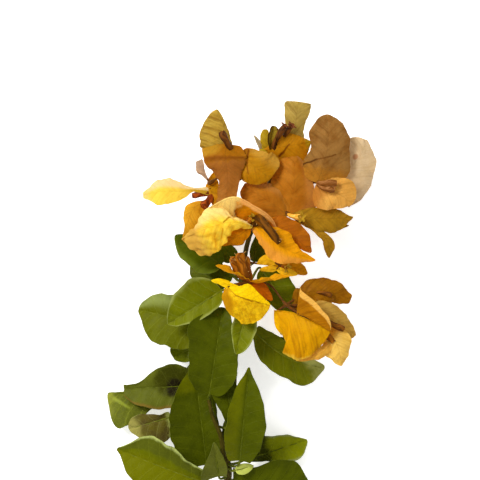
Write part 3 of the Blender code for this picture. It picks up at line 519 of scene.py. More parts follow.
# what the finishes of tubes and bark share, and what each has of its own: body, shade, scale of its grain,
# roughness, bump and stripes
plainLook = dict(stretch=(1.6, 0.35, 1.0), stripeDepth=0.12, shadeFrom=0.38, shadeTo=0.62, shine=0.08)
plainLooks = dict(
    bark=((84, 72, 24), (54, 50, 10), 0.5, 0.65, 0.6, 0.0),
    youngBark=((76, 66, 12), (58, 52, 4), 0.5, 0.6, 0.4, 0.0),
    petiole=((118, 122, 34), (84, 92, 14), 0.7, 0.5, 0.3, 0.0),
    darkPetiole=((90, 96, 12), (66, 74, 4), 0.7, 0.5, 0.3, 0.0),
    bloomStalk=((104, 58, 14), (72, 46, 10), 0.7, 0.55, 0.3, 0.0),
    tube=((160, 96, 10), (122, 62, 2), 0.5, 0.6, 0.5, 1.2),
    brownTube=((150, 86, 4), (104, 54, 0), 0.5, 0.6, 0.5, 1.2),
    darkTube=((124, 72, 6), (80, 42, 2), 0.5, 0.6, 0.5, 1.2),
    duskTube=((104, 58, 12), (66, 34, 4), 0.5, 0.6, 0.5, 1.2),
    oliveTube=((108, 62, 0), (62, 34, 0), 0.5, 0.6, 0.5, 1.2),
    redTube=((150, 66, 8), (96, 36, 2), 0.5, 0.6, 0.5, 1.2),
    paleTube=((248, 196, 92), (212, 146, 34), 0.5, 0.6, 0.4, 1.2),
    softTube=((156, 104, 56), (112, 62, 14), 0.5, 0.6, 0.4, 1.2),
    duskStar=((122, 66, 30), (76, 34, 18), 0.5, 0.6, 0.5, 0.0),
    cream=((250, 236, 170), (226, 200, 110), 0.9, 0.5, 0.3, 0.0),
    hair=((206, 160, 92), (150, 104, 40), 0.9, 0.6, 0.3, 0.0),
)


def plainFinish(name, body, shade, scale, roughness, bump, stripes):
    # body and shade mixed by a noise drawn out along the piece, with stripes of sin(stripes x), and a
    # fine bump
    look = plainLook
    n = Nodes(name)
    place, (x, _, _) = n.split("place")
    long = n.add("ShaderNodeMapping", {"Vector": place, "Scale": look["stretch"]})
    grain = n.noise(long, scale, 5.0)
    if stripes:
        stripe = n.math("SINE", n.math("MULTIPLY", x, stripes))
        grain = n.math("MULTIPLY_ADD", stripe, look["stripeDepth"], grain)
    colour = n.mix(n.ramp(grain, look["shadeFrom"], look["shadeTo"]), tone(body), tone(shade))
    fine = n.noise(place, 4.0 * scale, 4.0)
    normal = n.add("ShaderNodeBump", {"Height": n.math("ADD", grain, fine), "Strength": bump,
                                      "Distance": bladeLook["bumpDepth"]})
    n.join(colour, n.shader.inputs["Base Color"])
    n.join(n.math("MULTIPLY_ADD", fine, 0.3, roughness - 0.15), n.shader.inputs["Roughness"])
    n.join(normal, n.shader.inputs["Normal"])
    n.shader.inputs["Specular IOR Level"].default_value = look["shine"]
    return n.made


finishes = {name: plainFinish(name, *values) for name, values in plainLooks.items()}


bark = dict(rings=230, sides=28, twigRings=60, twigSides=16, bumps=0.16, nodeSwell=0.28, nodeLength=2.6,
            girth=0.97)


def barkedLimb(name, finish):
    # the smooth axis with a ring at each step, its radius falling evenly, plus a swelling
    # exp(-(distance / nodeLength)^2) where a leaf or bloom leaves it
    limb = limbs[name]
    main = name == "main_stem"
    count = bark["rings"] if main else bark["twigRings"]
    path = smoothPath(limb["axis"], count)
    t = np.linspace(0, 1, count)
    radii = np.linspace(*limb["radii"], count)
    carried = list(leaves.values()) + list(blooms.values())
    joints = [item["at"] for item in carried if item.get("limb", "main_stem") == name]
    lengths = np.concatenate([[0], np.cumsum(np.linalg.norm(np.diff(path, axis=0), axis=1))])
    for at in joints:
        away = (lengths - np.interp(at, t, lengths)) / bark["nodeLength"]
        radii = radii + bark["nodeSwell"] * np.exp(-away ** 2)
    sides = bark["sides"] if main else bark["twigSides"]
    return closedTube(path, radii * bark["girth"], sides, finish, bumps=bark["bumps"], seed=len(name))


# a leaf leaves its limb at the share "at". Its two half widths follow the usual outline, widest by
# "width", or run through seven stations from root to tip given as "left" and "right"
leafShape = dict(
    limb="main_stem", width=(10, 10), turn=0, lift=(0.35, -0.35), sway=0, fold=(10, 10), curl=(15, 15),
    base=0.5, point=0.8, ruffle=1.2, look="green",
    relief=dict(ribSpacing=7.5, ribSlope=0.8, ribBend=0.02, quilt=0.5, crumple=0.25, frill=0.6,
                frillLength=17.0, nibble=0.02, groove=0.45),
)
leaves = {
    "leaf_01": dict(at=0.68, root=(-12, 23, 43), tip=(-42, 42, 47), left=(2, 7, 11.5, 11.8, 9.5, 4, 0),
                    right=(2, 5.2, 8.5, 8.7, 6.1, 2.4, 0), look="edged"),
    "leaf_02": dict(at=0.617, root=(-12, 6, 42), tip=(-47, -16, 40), width=(9, 17), look="fresh"),
    "leaf_03": dict(at=0.52, root=(-15, -19, 26), tip=(-67, -7, 16), left=(6, 12, 17, 19, 16, 5, 0),
                    right=(4, 7.3, 12.7, 15, 13.4, 6.5, 0), look="pale"),
    "leaf_04": dict(at=0.50, root=(-15, -23, 20), tip=(-44, -39, 12), left=(2, 5, 7.5, 8, 7, 3.5, 0),
                    right=(2, 5, 7.5, 8.5, 9, 6, 0)),
    "leaf_05": dict(limb="side_shoot", at=1.0, root=(-20, -62, 31), tip=(-11, -5, 40),
                    left=(5, 10, 15.5, 17.5, 20, 9, 0), right=(4, 10, 15, 14.5, 9.5, 5, 0), look="dark"),
    "leaf_06": dict(at=0.60, root=(5, -3, 46), tip=(-2.5, -35, 48), left=(2, 5, 8, 9, 7.5, 3.5, 0),
                    right=(2, 4, 6, 7, 4.5, 1.8, 0), look="fresh"),
    "leaf_07": dict(at=0.58, root=(9, -20, 34), tip=(56, -45, 12), left=(4, 6, 8.5, 9, 5.5, 2.5, 0),
                    right=(2, 4.2, 11, 12.5, 13, 4.5, 0), sway=0.1, look="tipped"),
    "leaf_08": dict(at=0.37, root=(-27, -57, 12), tip=(-77, -60, 9), left=(2, 5, 12, 14.2, 11.5, 7, 3),
                    right=(5, 9, 14.3, 13.6, 5, 2.9, 2.8), look="blotched"),
    "leaf_09": dict(at=0.305, root=(-52, -66, 4), tip=(-88, -63, 2), left=(3, 5, 10, 19, 21, 8, 1.5),
                    right=(3, 4, 5, 4, 1.7, 0.8, 0), look="horned"),
    "leaf_10": dict(at=0.27, root=(-46, -78, 16), tip=(-73.5, -86, 14), left=(6, 11, 15, 14, 10, 4, 0),
                    right=(3, 4, 4, 6.5, 7.5, 4, 0), fold=(-6, 10), curl=(-6, 15), look="faded"),
    "leaf_11": dict(at=0.06, root=(-22, -122, 16), tip=(-81, -98.5, 24), left=(1, 5, 12, 17, 14.3, 3.4, 0),
                    right=(7, 8, 9.3, 15, 16.2, 4.5, 0), look="rolled"),
    "leaf_12": dict(at=0.16, root=(-22, -110, 10), tip=(-30, -44, 18), left=(9, 15, 20, 20.8, 14.8, 5.5, 0),
                    right=(6, 9, 11.5, 11, 10.5, 3.5, 0), lift=(0.1, -0.2), look="brightTip"),
    "leaf_13": dict(at=0.195, root=(0, -106, 25), tip=(6, -44, 40), left=(6, 9, 11.5, 11, 8, 2.5, 0),
                    right=(6, 9, 13.2, 14, 9, 2.2, 0), look="parted"),
    "leaf_14": dict(at=0.28, root=(-4, -83, 26), tip=(-11, -46, 24), left=(5, 5.5, 6, 9.5, 9.5, 4, 0),
                    right=(4, 5, 8, 8, 6, 3, 0), look="dark"),
    "leaf_15": dict(at=0.19, root=(6, -106, 9), tip=(44.5, -94, 2), left=(5, 8, 11.3, 9.6, 6, 1.8, 0),
                    right=(2, 3, 5.2, 9.5, 10, 4.3, 0), look="halfDark"),
    "leaf_16": dict(at=0.08, root=(-4.5, -120, 11), tip=(46, -124, 9), left=(8, 8, 9.5, 15.2, 16.2, 6, 0),
                    right=(1, 4, 9, 12, 10, 5, 0), look="dark"),
    "leaf_17": dict(at=0.125, root=(-14, -117, 18), tip=(-17, -94, 26), left=(9, 11.5, 11, 7.5, 3, 1.2, 0),
                    right=(4.5, 5.5, 6, 5.4, 3.4, 1.2, 0), look="grey"),
    "leaf_18": dict(at=0.66, root=(14, 20, 34), tip=(34, -9, 34), width=(12, 9), point=0.6),
    "leaf_19": dict(at=0.71, root=(9.5, 25, 34), tip=(12, 44, 44), width=(4, 7), look="dark"),
    "leaf_20": dict(at=0.71, root=(-4, 26, 39), tip=(-14, 37, 41), width=(6, 6), look="dark"),
    "leaf_21": dict(at=0.67, root=(-5, 15, 34), tip=(-20, 16, 34), width=(5, 6), look="dark"),
    "leaf_22": dict(at=0.64, root=(-10, 8, 24), tip=(-33, 22, 1), width=(8, 8), look="dark"),
    "leaf_23": dict(at=0.55, root=(-12, -14, 16), tip=(-52, -12, 1), width=(12, 12), look="dark"),
    "leaf_24": dict(at=0.55, root=(14, -28, 18), tip=(44, -46, 1), width=(10, 9), look="dark"),
    "leaf_25": dict(at=0.46, root=(-13, -38, 10), tip=(-36, -54, 1), width=(9, 9), look="dark"),
    "leaf_26": dict(at=0.33, root=(2, -72, 14), tip=(12, -98, 1), width=(10, 9),
                    right=(6, 12, 18, 20, 18, 9, 0), fold=(10, 2), curl=(15, 2), look="dark"),
    "leaf_27": dict(at=0.17, root=(-3, -113, 19), tip=(9, -110, 19), width=(3.6, 3.8), ruffle=0,
                    look="bud"),
}
leafLook = dict(ribSpacing=7.5, ribSlope=0.8, ribBend=0.02, ribWidth=0.45, ribShare=0.36, netShare=0.14,
                netSize=3.2, streaks=0.12, mottle=0.5, mottleScale=0.08, glow=0.3, gloss=0.42, shine=0.05,
                bump=0.55)
darkLeaf = dict(ribs=(106, 112, 16), under=(104, 112, 34), ribShare=0.22)
leafLooks = dict(
    green=dict(body=(102, 110, 0), shade=(78, 86, 0), ribs=(138, 144, 36), under=(120, 130, 50)),
    # fresh: its pale margin tint is painted rim light along the edges
    fresh=dict(body=(116, 122, 2), shade=(92, 100, 0), ribs=(150, 158, 60), under=(134, 142, 60),
               tints=[("margin", 0.78, 1.05, (165, 172, 92))]),
    pale=dict(body=(102, 106, 0), shade=(84, 90, 0), ribs=(138, 146, 50), under=(136, 142, 60),
              tints=[("across", 0.15, 0.75, (150, 160, 84))]),
    parted=dict(body=(82, 90, 0), shade=(60, 68, 0), **darkLeaf,
                tints=[("across", 0.0, -0.5, (104, 108, 0))]),
    brightTip=dict(body=(80, 88, 0), shade=(56, 64, 0), **darkLeaf,
                   spots=[(-0.5, 0.86, 0.9, 0.13, (102, 106, 0))]),
    edged=dict(body=(74, 86, 0), shade=(54, 68, 0), ribs=(106, 116, 20), under=(104, 112, 34), ribShare=0.22,
               tints=[("across", -0.5, -0.95, (104, 118, 30))]),
    dark=dict(body=(82, 90, 0), shade=(56, 64, 0), **darkLeaf),
    # halfDark: its pale margin tint is painted rim light along the edges
    halfDark=dict(body=(138, 144, 0), shade=(120, 128, 0), ribs=(150, 158, 60), under=(134, 142, 60),
                  ribShare=0.25, tints=[("margin", 0.8, 1.05, (150, 156, 104)),
                                        ("along", 0.42, 0.3, (54, 58, 0))]),
    horned=dict(body=(96, 102, 20), shade=(78, 84, 10), ribs=(170, 178, 60), under=(134, 142, 60),
                ribShare=0.3, tints=[("along", 0.8, 0.95, (146, 150, 50))],
                shadeAndCreaseLines=[(-3, 33, -5, 28, 1.8, (150, 158, 56)), (-5, 28, -8, 22, 1.6, (140, 150, 44))]),
    rolled=dict(body=(106, 112, 0), shade=(86, 92, 0), ribs=(138, 144, 36), under=(120, 130, 50),
                ribShare=0.25,
                tints=[("across", 0.3, 0.0, (114, 116, 0)), ("across", 0.3, 0.45, (92, 98, 18)),
                       ("across", 0.84, 0.97, (186, 196, 112))]),
    tipped=dict(body=(104, 108, 0), shade=(80, 86, 0), ribs=(138, 142, 36), under=(120, 130, 50),
                tints=[("along", 0.76, 0.94, (158, 158, 78))],
                spots=[(-0.6, 0.8, 0.8, 0.14, (172, 172, 88))]),
    # blotched: a brownish left margin, a dark blotch, and a near-black spot that is painted deep shadow in a
    # gap between the leaves
    blotched=dict(body=(98, 104, 24), shade=(80, 84, 20), ribs=(122, 126, 46), under=(110, 116, 40),
                  ribShare=0.2, tints=[("across", -0.78, -0.96, (120, 98, 34))],
                  spots=[(0.3, 0.38, 0.8, 0.24, (66, 68, 6)), (-0.05, 0.32, 0.5, 0.12, (38, 32, 14))]),
    faded=dict(body=(102, 94, 26), shade=(90, 76, 36), ribs=(150, 148, 80), under=(150, 148, 90), mottle=0.9,
               tints=[("along", 0.62, 0.86, (172, 164, 84)), ("along", 0.16, 0.06, (158, 164, 84))]),
    grey=dict(body=(102, 106, 32), shade=(84, 88, 18), ribs=(130, 136, 60), under=(112, 122, 60),
              ribShare=0.2),
    bud=dict(body=(196, 204, 96), shade=(170, 180, 70), ribs=(206, 212, 120), under=(180, 190, 90)),
)
for key, look in leafLooks.items():
    finishes[key] = bladeFinish("leaf" + key.capitalize(), {**leafLook, **look})
darkLooks = ("dark", "brightTip", "parted", "edged", "blotched", "grey", "halfDark")  # with a dark petiole
leafBuild = dict(thickness=0.42, ribSteps=60, rowsPerMm=1.1, rows=(24, 70), columns=36, stations=13,
                 stalkSteps=18, stalkDrop=0.35, petiole=(0.95, 0.72), backRib=(0.7, 0.14),
                 backRibDrop=0.42, sides=10, seed=100)


def leafPiece(name, number):
    # the blade, and one tube that is its petiole and then its rib: along the stalk's cubic, and then along
    # the midrib, a little under the blade
    make = leafBuild
    leaf = {**leafShape, **leaves[name]}
    leaf["relief"] = {**leafShape["relief"], **leaves[name].get("relief", {})}
    length = np.linalg.norm(np.subtract(leaf["tip"], leaf["root"]))
    rows = int(np.clip(length * make["rowsPerMm"], *make["rows"]))
    stations = 0.5 - 0.5 * np.cos(math.pi * np.linspace(0, 1, make["stations"]))
    outline = halfWidth(stations, leaf["base"], leaf["point"])
    for side, width in zip(("left", "right"), leaf["width"]):
        leaf.setdefault(side, width * outline)
    rib = leafRib(leaf["root"], leaf["tip"], leaf, make["ribSteps"])
    blade = bladeSurface(rib, leaf, rows, make["columns"], make["seed"] + number)
    middle = blade["midrib"]
    arriving = unit(middle[3] - middle[0])
    end = middle[0] - make["stalkDrop"] * blade["face"][0]
    stalk = stalkPath(leaf["limb"], leaf["at"], end, arriving, make["stalkSteps"])
    path = np.vstack([stalk, middle[2:-4] - blade["face"][2:-4] * make["backRibDrop"]])
    radii = np.concatenate([np.linspace(*make["petiole"], len(stalk)),
                            np.linspace(*make["backRib"], len(path) - len(stalk))])
    petiole = "darkPetiole" if leaf["look"] in darkLooks else "petiole"
    parts = [closedSheet(blade, make["thickness"], leaf["look"]),
             closedTube(path, radii, make["sides"], petiole)]
    makePiece(name + "_blade", parts, finishes, name)


# a bract's midrib runs through "rib", and "left" and "right" are its half widths at seven stations from
# root to tip, closer together towards its ends. A bract without them has the usual outline. A flower's
# tube runs along "path" with the radii of its two ends; "mouth" is the size of an open one's star, "star"
# the star's finish, and "hairs" is their number
bractShape = dict(
    width=(10, 10), turn=0, fold=(-8, -8), curl=(-18, -18), ruffle=0.9, look="gold",
    relief=dict(ribSpacing=5.0, ribSlope=1.1, quilt=0.22, crumple=0.5, crumpleLength=9.0, billow=0.35,
                frill=0.5, nibble=0.012, groove=0.25),
)
bractShares = (0.1, 0.42, 0.8, 1.0, 0.82, 0.42, 0)
blooms = {
    "bloom_hood": dict(limb="main_stem", at=0.80, centre=(8, 49, 60), bracts=[
        dict(rib=[(8, 47.5, 65), (-3, 50.5, 73), (-15, 48.5, 76), (-27, 44, 75), (-37.5, 39.5, 70)],
             left=(1, 2.5, 5.5, 14.5, 16.5, 12.8, 0), right=(0.5, 1.5, 4, 13, 5, 1.5, 0), fold=(-12, -12),
             curl=(-32, -32), look="paleGold", relief=dict(crumple=1.5, crumpleLength=6.5)),
        dict(rib=[(7, 47.5, 63), (1, 43, 65.5), (-6, 39, 66), (-14, 35.5, 66)],
             left=(1, 2, 4.5, 5.3, 2.8, 1.2, 0), right=(1, 3, 5, 5, 4, 2, 0), look="lip"),
        dict(rib=[(24, 45, 62), (19, 53.5, 67), (9, 60.2, 71), (-4, 66, 73), (-20, 59.5, 70)],
             left=(2, 6, 10, 12, 13, 8, 1), right=(0.3, 0.6, 0.8, 0.8, 0.8, 0.5, 0), fold=(-35, -10),
             curl=(-25, -10), look="rimmed"),
        dict(rib=[(9, 48.5, 62), (19, 41, 69), (32, 32, 70), (48.5, 26, 66)],
             left=(2, 4, 7, 9.5, 3.5, 1.2, 0), right=(2, 4.5, 7.5, 11, 6, 2.2, 0), look="skirt"),
        dict(rib=[(12, 46, 58), (26, 46, 62), (37, 39, 62), (46, 31, 60)],
             left=(1, 4, 7.5, 9, 8, 2.5, 0), right=(1, 3, 5, 5, 4, 2, 0), look="orangeBrown"),
    ], flowers=[
        dict(path=[(8, 49, 60), (12.5, 52, 68.5), (18.5, 46, 73.5), (25.5, 37, 74)], radii=(4.0, 2.2),
             finish="oliveTube", hairs=10),
        dict(path=[(8, 49, 60), (6, 51, 65), (8, 53, 68)], radii=(1.6, 1.9), finish="tube", mouth=1.3),
    ]),
    "bloom_middle": dict(limb="main_stem", at=0.93, centre=(31, 56, 46), bracts=[
        dict(rib=[(30, 56, 46), (19, 64, 49), (9, 70, 49), (2, 74, 47)],
             left=(1, 5, 8, 10, 9, 7, 4), right=(1, 5, 12, 11, 7, 4, 2), look="rust"),
        dict(rib=[(31, 56, 46), (34, 68, 49), (35.5, 81, 50), (35, 93.3, 48)],
             left=(1, 5, 12, 15, 14, 13, 10), right=(4, 12, 17, 13.4, 9.5, 5.5, 2), look="rust"),
        dict(rib=[(35, 55, 46), (50, 53, 48), (62, 53, 47), (73.5, 54, 44)],
             left=(1, 3, 6.5, 7.5, 5.5, 1.2, 0), right=(1, 2, 5, 8.5, 8.5, 3, 0), look="olive"),
        dict(rib=[(36, 52, 43), (48, 48, 43), (60, 46.5, 42), (71, 48.5, 40)],
             left=(0.5, 1, 2, 2.5, 2, 1, 0), right=(0.5, 1, 2, 2, 1.5, 0.8, 0), look="olive"),
        dict(rib=[(42, 50, 44), (50, 44.5, 46), (57, 38, 46), (58, 27.3, 43)],
             left=(0.6, 1, 1.6, 2.4, 4, 1.8, 0), right=(0.6, 1, 1.4, 2, 3.4, 1.6, 0), look="olive"),
    ], flowers=[
        dict(path=[(31, 56, 46), (32.5, 55, 50), (36, 54, 52.5), (39, 53.7, 56)], radii=(1.0, 2.2),
             finish="paleTube", mouth=1.3),
    ]),
    "bloom_left": dict(limb="twig_left", at=0.7, centre=(-18, 69, 50), bracts=[
        dict(rib=[(-20, 70, 51), (-30, 71.4, 54), (-38, 70.7, 56), (-50, 70.5, 57), (-62.8, 68.2, 54)],
             left=(2, 2, 1.3, 7, 8.7, 3.8, 1.5), right=(2, 2.8, 1.6, 7.2, 8, 3, 1.2), fold=(8, -8),
             curl=(20, -30), look="cream"),
        dict(rib=[(-20, 63.5, 53), (-29, 60.5, 54), (-33, 53, 54), (-36.8, 40, 52)],
             left=(1, 3, 8, 10, 8, 3, 0), right=(1, 1.5, 3, 5, 1.2, 0.8, 0), look="amber"),
        dict(rib=[(-17, 68, 49), (-17, 76, 49), (-15.5, 84, 46)],
             left=(2, 4, 5, 4.5, 3, 1.5, 0), right=(1, 2, 3, 3, 2, 1, 0), look="ochre"),
        dict(rib=[(-20, 74, 50), (-17.5, 67, 53), (-15, 59, 54)],
             left=(1, 4, 6, 6, 4, 2, 0), right=(0.5, 1, 1.5, 2.5, 2, 1, 0), look="ochre"),
    ], flowers=[
        dict(path=[(-18, 69, 50), (-24, 68.5, 51), (-31, 67.6, 52)], radii=(1.2, 2.1), finish="redTube"),
        dict(path=[(-18, 69, 50), (-20, 64.5, 54), (-24, 60.5, 57)], radii=(1.8, 3.0), finish="redTube"),
    ]),
    "bloom_crest": dict(limb="twig_left", at=0.9, centre=(-5, 95, 50), bracts=[
        dict(rib=[(-6, 92, 49), (-8, 104, 54), (-11, 114, 57), (-15, 123.3, 58)],
             left=(3, 10, 18, 17.5, 15, 8, 0), right=(1, 2, 2.6, 2.2, 1.6, 1, 0), fold=(0, -30),
             look="crest"),
        dict(rib=[(-9, 101, 55), (-9.5, 92, 58), (-8, 80, 57), (-8, 68, 58), (-9, 56, 56)],
             left=(8, 12, 13.5, 8, 6, 6, 3), right=(14, 15, 13, 7, 6.5, 6, 3), fold=(-4, -4),
             curl=(-12, -35), look="brown"),
        dict(rib=[(1, 96.5, 52), (10, 86, 56.5), (20, 79, 54)],
             left=(3, 5.5, 9.5, 12.5, 14.7, 13.5, 9), right=(5, 7, 9, 11.5, 9.8, 5, 0), look="goldOchre"),
    ], flowers=[
        dict(path=[(-5, 95, 50), (-7, 99.5, 56), (-9.5, 104, 58.5), (-12, 109, 58.5)], radii=(1.8, 2.6),
             finish="duskTube"),
    ]),
    "bloom_crown": dict(limb="main_stem", at=1.0, centre=(27, 93, 42), bracts=[
        dict(rib=[(33, 96, 43), (35.5, 108, 47), (36.5, 118, 49), (38, 128.8, 48)],
             left=(2, 3.5, 6, 6.5, 8, 9, 7.5), right=(2, 4, 6.2, 6.2, 7.7, 8.3, 8), look="oliveOchre"),
        dict(rib=[(16, 97.5, 45.5), (26, 99.3, 49.5), (36, 100.7, 50), (46, 102.7, 48)],
             left=(1, 1.5, 4, 8, 6, 2, 0), right=(2, 4, 7.5, 8.5, 12, 5.5, 0), fold=(-4, -26),
             curl=(-6, -6), look="foldedOchre"),
        dict(rib=[(22, 97, 45), (20.5, 103, 48.5), (22, 113, 51)],
             left=(0.6, 1.4, 2.2, 2.6, 2.8, 2.2, 1), right=(0.6, 1.6, 2.8, 3.5, 3.6, 2.6, 1.5),
             fold=(40, 40), curl=(20, 20), look="darkRimmed"),
        dict(rib=[(19, 95, 43), (16.7, 103, 47), (16, 111, 46)],
             left=(1, 2, 3, 3.4, 3.1, 2, 1), right=(1, 2, 3.2, 3.4, 3, 2.4, 1), look="yellowOlive"),
        dict(rib=[(16, 95, 41), (13, 101, 42), (9, 107.3, 41)],
             left=(0.6, 1, 1.4, 1.5, 1, 0.4, 0), right=(0.8, 1.5, 2, 2, 1.5, 0.6, 0), look="greyTan"),
        dict(rib=[(24, 93, 43), (17, 95.5, 46), (12.5, 98, 44)],
             left=(0.6, 1.5, 2.5, 2.5, 1.5, 0.8, 0), right=(0.6, 1.5, 3.5, 4, 2.5, 1, 0), look="yellowOlive"),
    ], flowers=[
        dict(path=[(27, 93, 42), (27, 101, 43.5), (29, 107, 49), (33, 112.5, 53)], radii=(1.2, 2.0),
             finish="duskTube", mouth=1.2, star="duskStar"),
        dict(path=[(27, 93, 42), (22, 99.5, 48.5), (24.5, 106, 53), (28.5, 112.5, 55)], radii=(1.2, 2.2),
             finish="duskTube", mouth=1.2, star="duskStar"),
    ]),
    "bloom_right": dict(limb="twig_right", at=1.0, centre=(50, 77, 46), bracts=[
        dict(rib=[(50, 76, 50.5), (54, 88, 55.5), (57, 104, 55.5), (56, 120.3, 53)],
             left=(6, 10, 13, 10.3, 12.5, 6.5, 0), right=(5, 13, 17.5, 15.5, 12.5, 6.5, 0),
             fold=(-2, -8), curl=(-8, -18), look="brownTan"),
        dict(rib=[(60, 77, 44), (68, 82, 45), (77, 92, 45), (80, 97.5, 44.5), (82.3, 104.3, 43)],
             left=(3, 5, 8, 10, 11, 11, 6), right=(20, 20, 19.5, 16, 10.3, 3.2, 0.5), look="tan"),
        dict(rib=[(49, 74.5, 50), (56, 71.5, 53), (65, 68, 53.5), (73, 62.5, 51)],
             left=(2, 4.5, 8, 10.5, 11.5, 6, 0), right=(4, 9.5, 13, 11.5, 9, 4.5, 0), fold=(-3, -3),
             curl=(-12, -12), look="orangeGold"),
    ], flowers=[
        dict(path=[(50, 77, 46), (52, 75.5, 55), (56, 75.7, 57.5), (62.5, 75.5, 57.5)], radii=(1.2, 2.4),
             finish="softTube"),
        dict(path=[(50, 77, 46), (52, 73.5, 55), (56, 72, 57.5), (61, 71.5, 57)], radii=(1.0, 2.2),
             finish="softTube"),
    ]),
    "bloom_cup": dict(limb="twig_low", at=0.6, centre=(7, 12, 57), bracts=[
        dict(rib=[(7, 12, 58), (-4, 17, 63), (-15.5, 22.5, 66)],
             left=(1, 3, 5.5, 6, 5, 2.5, 0), right=(1, 3, 5.5, 6, 5, 2.5, 0), turn=80, fold=(8, 8),
             curl=(20, 20), look="rimGold"),
        dict(rib=[(7, 12, 58), (15, 12.5, 61), (32, 15.5, 62)],
             left=(1, 3, 5, 5.5, 4, 2, 0), right=(1, 3, 5, 5.5, 4, 2, 0), turn=-80, fold=(8, 8),
             curl=(20, 20), look="rimGold"),
        dict(rib=[(-8.5, 10, 65), (-3, 4, 68), (7, 0.5, 68), (19.5, -3, 65)],
             left=(2, 4.5, 6.8, 9, 5, 2, 0), right=(1.5, 5, 11, 15.5, 15.5, 10, 2), fold=(-8, -18),
             curl=(-12, -22), look="lemon", relief=dict(crumple=0.7, groove=0.6)),
        dict(rib=[(-6, 9.5, 64.5), (-12, 12, 66), (-18.5, 13, 65)],
             left=(1, 2, 2.4, 2.2, 1.6, 0.8, 0), right=(1, 2, 2.4, 2.2, 1.6, 0.8, 0), look="lemonPlain"),
        dict(rib=[(2, 10, 56), (12, 8, 56), (21, 0, 54)],
             left=(1, 3, 4, 4.5, 3.5, 1.5, 0), right=(1, 2, 3, 4, 4, 2, 0), look="redOrange"),
    ], flowers=[
        dict(path=[(7, 12, 57), (0, 17, 61), (-3, 23, 62), (-3.5, 28.5, 62)], radii=(2.2, 3.2),
             finish="brownTube", hairs=16),
        dict(path=[(7, 12, 57), (3, 17.5, 64), (1, 24.5, 65), (0, 30.5, 64)], radii=(2.4, 3.3),
             finish="brownTube", hairs=16),
        dict(path=[(7, 12, 57), (5.5, 17, 60), (4.2, 23, 61), (3.5, 28, 60)], radii=(2.2, 3.0),
             finish="tube", hairs=5),
    ]),
    "bloom_young": dict(limb="main_stem", at=0.72, centre=(27, 22, 47), bracts=[
        dict(rib=[(24, 24, 48), (17, 26, 50), (11, 23.5, 51)],
             left=(0.6, 1.5, 3, 3.4, 2.4, 1, 0), right=(0.6, 2.2, 4, 3.6, 2.4, 1, 0), look="yellow"),
        dict(rib=[(25, 20, 47.5), (19, 20.3, 50), (12.5, 19.6, 49)],
             left=(0.4, 1, 1.8, 1.9, 1.5, 0.7, 0), right=(0.4, 1, 1.8, 1.9, 1.5, 0.7, 0), look="yellow"),
        dict(rib=[(24, 20, 48), (30, 18.3, 51), (37.5, 16.6, 50)],
             left=(0.6, 1.4, 2.4, 2.8, 2.2, 1, 0), right=(0.6, 1.4, 2.4, 2.6, 2, 1, 0), look="yellow"),
        dict(rib=[(22, 24, 47), (33, 22, 48.5), (43.8, 17, 46)],
             left=(2, 3.5, 4.5, 5, 4.4, 2, 0), right=(1.5, 2.5, 3, 3.8, 3.8, 2, 0), look="gold"),
    ], flowers=[
        dict(path=[(27, 22, 47), (28.5, 21.5, 50), (30, 21, 51.5)], radii=(1.0, 1.3), finish="tube",
             mouth=1.3),
    ]),
    "bloom_low": dict(limb="twig_low", at=1.0, centre=(30, -3, 54), bracts=[
        dict(rib=[(22, -7, 56), (33, -8, 61), (41, -11.5, 64), (50, -16, 66), (58, -20, 65)],
             left=(0.5, 0.6, 0.6, 0.6, 0.6, 0.5, 0), right=(6, 13.5, 21, 26.5, 25.5, 18, 11), fold=(10, 0),
             curl=(10, -30), look="orangeYellow", relief=dict(ribSlope=0.2, ribSpacing=6)),
        dict(rib=[(60, -26, 58), (53, -33.5, 58.5), (45, -36, 58), (36, -38.7, 56.5)],
             left=(1, 2, 3, 3, 2.5, 1.4, 0), right=(1, 2, 3.4, 3.4, 3, 1.6, 0), look="paleStrip"),
        dict(rib=[(36.5, -8, 63), (42, -9.5, 65), (49, -14, 66.5), (57.5, -19.5, 66)],
             left=(17, 15.5, 11.5, 9, 7.5, 4, 1), right=(0.3, 0.4, 0.4, 0.4, 0.4, 0.3, 0), fold=(30, 0),
             curl=(-25, 0), look="brownOrange"),
        dict(rib=[(38, 3, 50), (48, 6, 52), (60, 5, 52), (72, 0.5, 49)],
             left=(2, 5, 8, 8.3, 6.6, 3.6, 2.4), right=(1.5, 2.5, 5, 6, 6.8, 4.3, 3), look="brownOchre"),
        dict(rib=[(44, -3, 53), (56, -8, 54), (66, -15, 53), (75, -23, 49)],
             left=(1.5, 3.5, 6.3, 6.8, 5, 2.2, 0), right=(1, 2.5, 4, 5, 5, 4.5, 2), look="tanGold"),
        dict(rib=[(52, -16, 55), (60, -24, 58.5), (64, -33, 57.5), (65.7, -42.5, 53)],
             left=(1, 3, 6.5, 10.5, 6, 2, 0), right=(1, 3, 7, 10, 9.5, 3.5, 0), look="yellowGold"),
        dict(rib=[(36, -6, 52), (37, 1, 54), (37, 8, 54)],
             left=(0.5, 1.5, 2.5, 3.2, 2.8, 1.5, 0), right=(0.5, 1.5, 2.5, 3, 3, 2, 0), look="brownOchre"),
    ], flowers=[
        dict(path=[(42, -3.5, 53.5), (52, -10, 57.5), (60, -15.5, 60), (67, -18.5, 58)], radii=(1.2, 2.2)),
        dict(path=[(44, -10, 54), (52, -18, 57), (60.5, -27, 58)], radii=(1.2, 2.0), finish="tube"),
        dict(path=[(38, 3, 50), (48, 5, 50.5), (55, 4.5, 53.5), (59.5, 3.3, 54)], radii=(0.8, 1.7)),
    ]),
    "bloom_withered": dict(limb="twig_left", at=1.0, centre=(-19.5, 76, 52), bracts=[
        dict(rib=[(-20.5, 77.5, 52), (-24, 83, 54), (-27, 90.4, 54)],
             left=(0.4, 0.8, 1.5, 3.6, 3.3, 2.2, 1.4), right=(0.4, 0.6, 1, 1.7, 2.6, 2.7, 2),
             look="greyPink"),
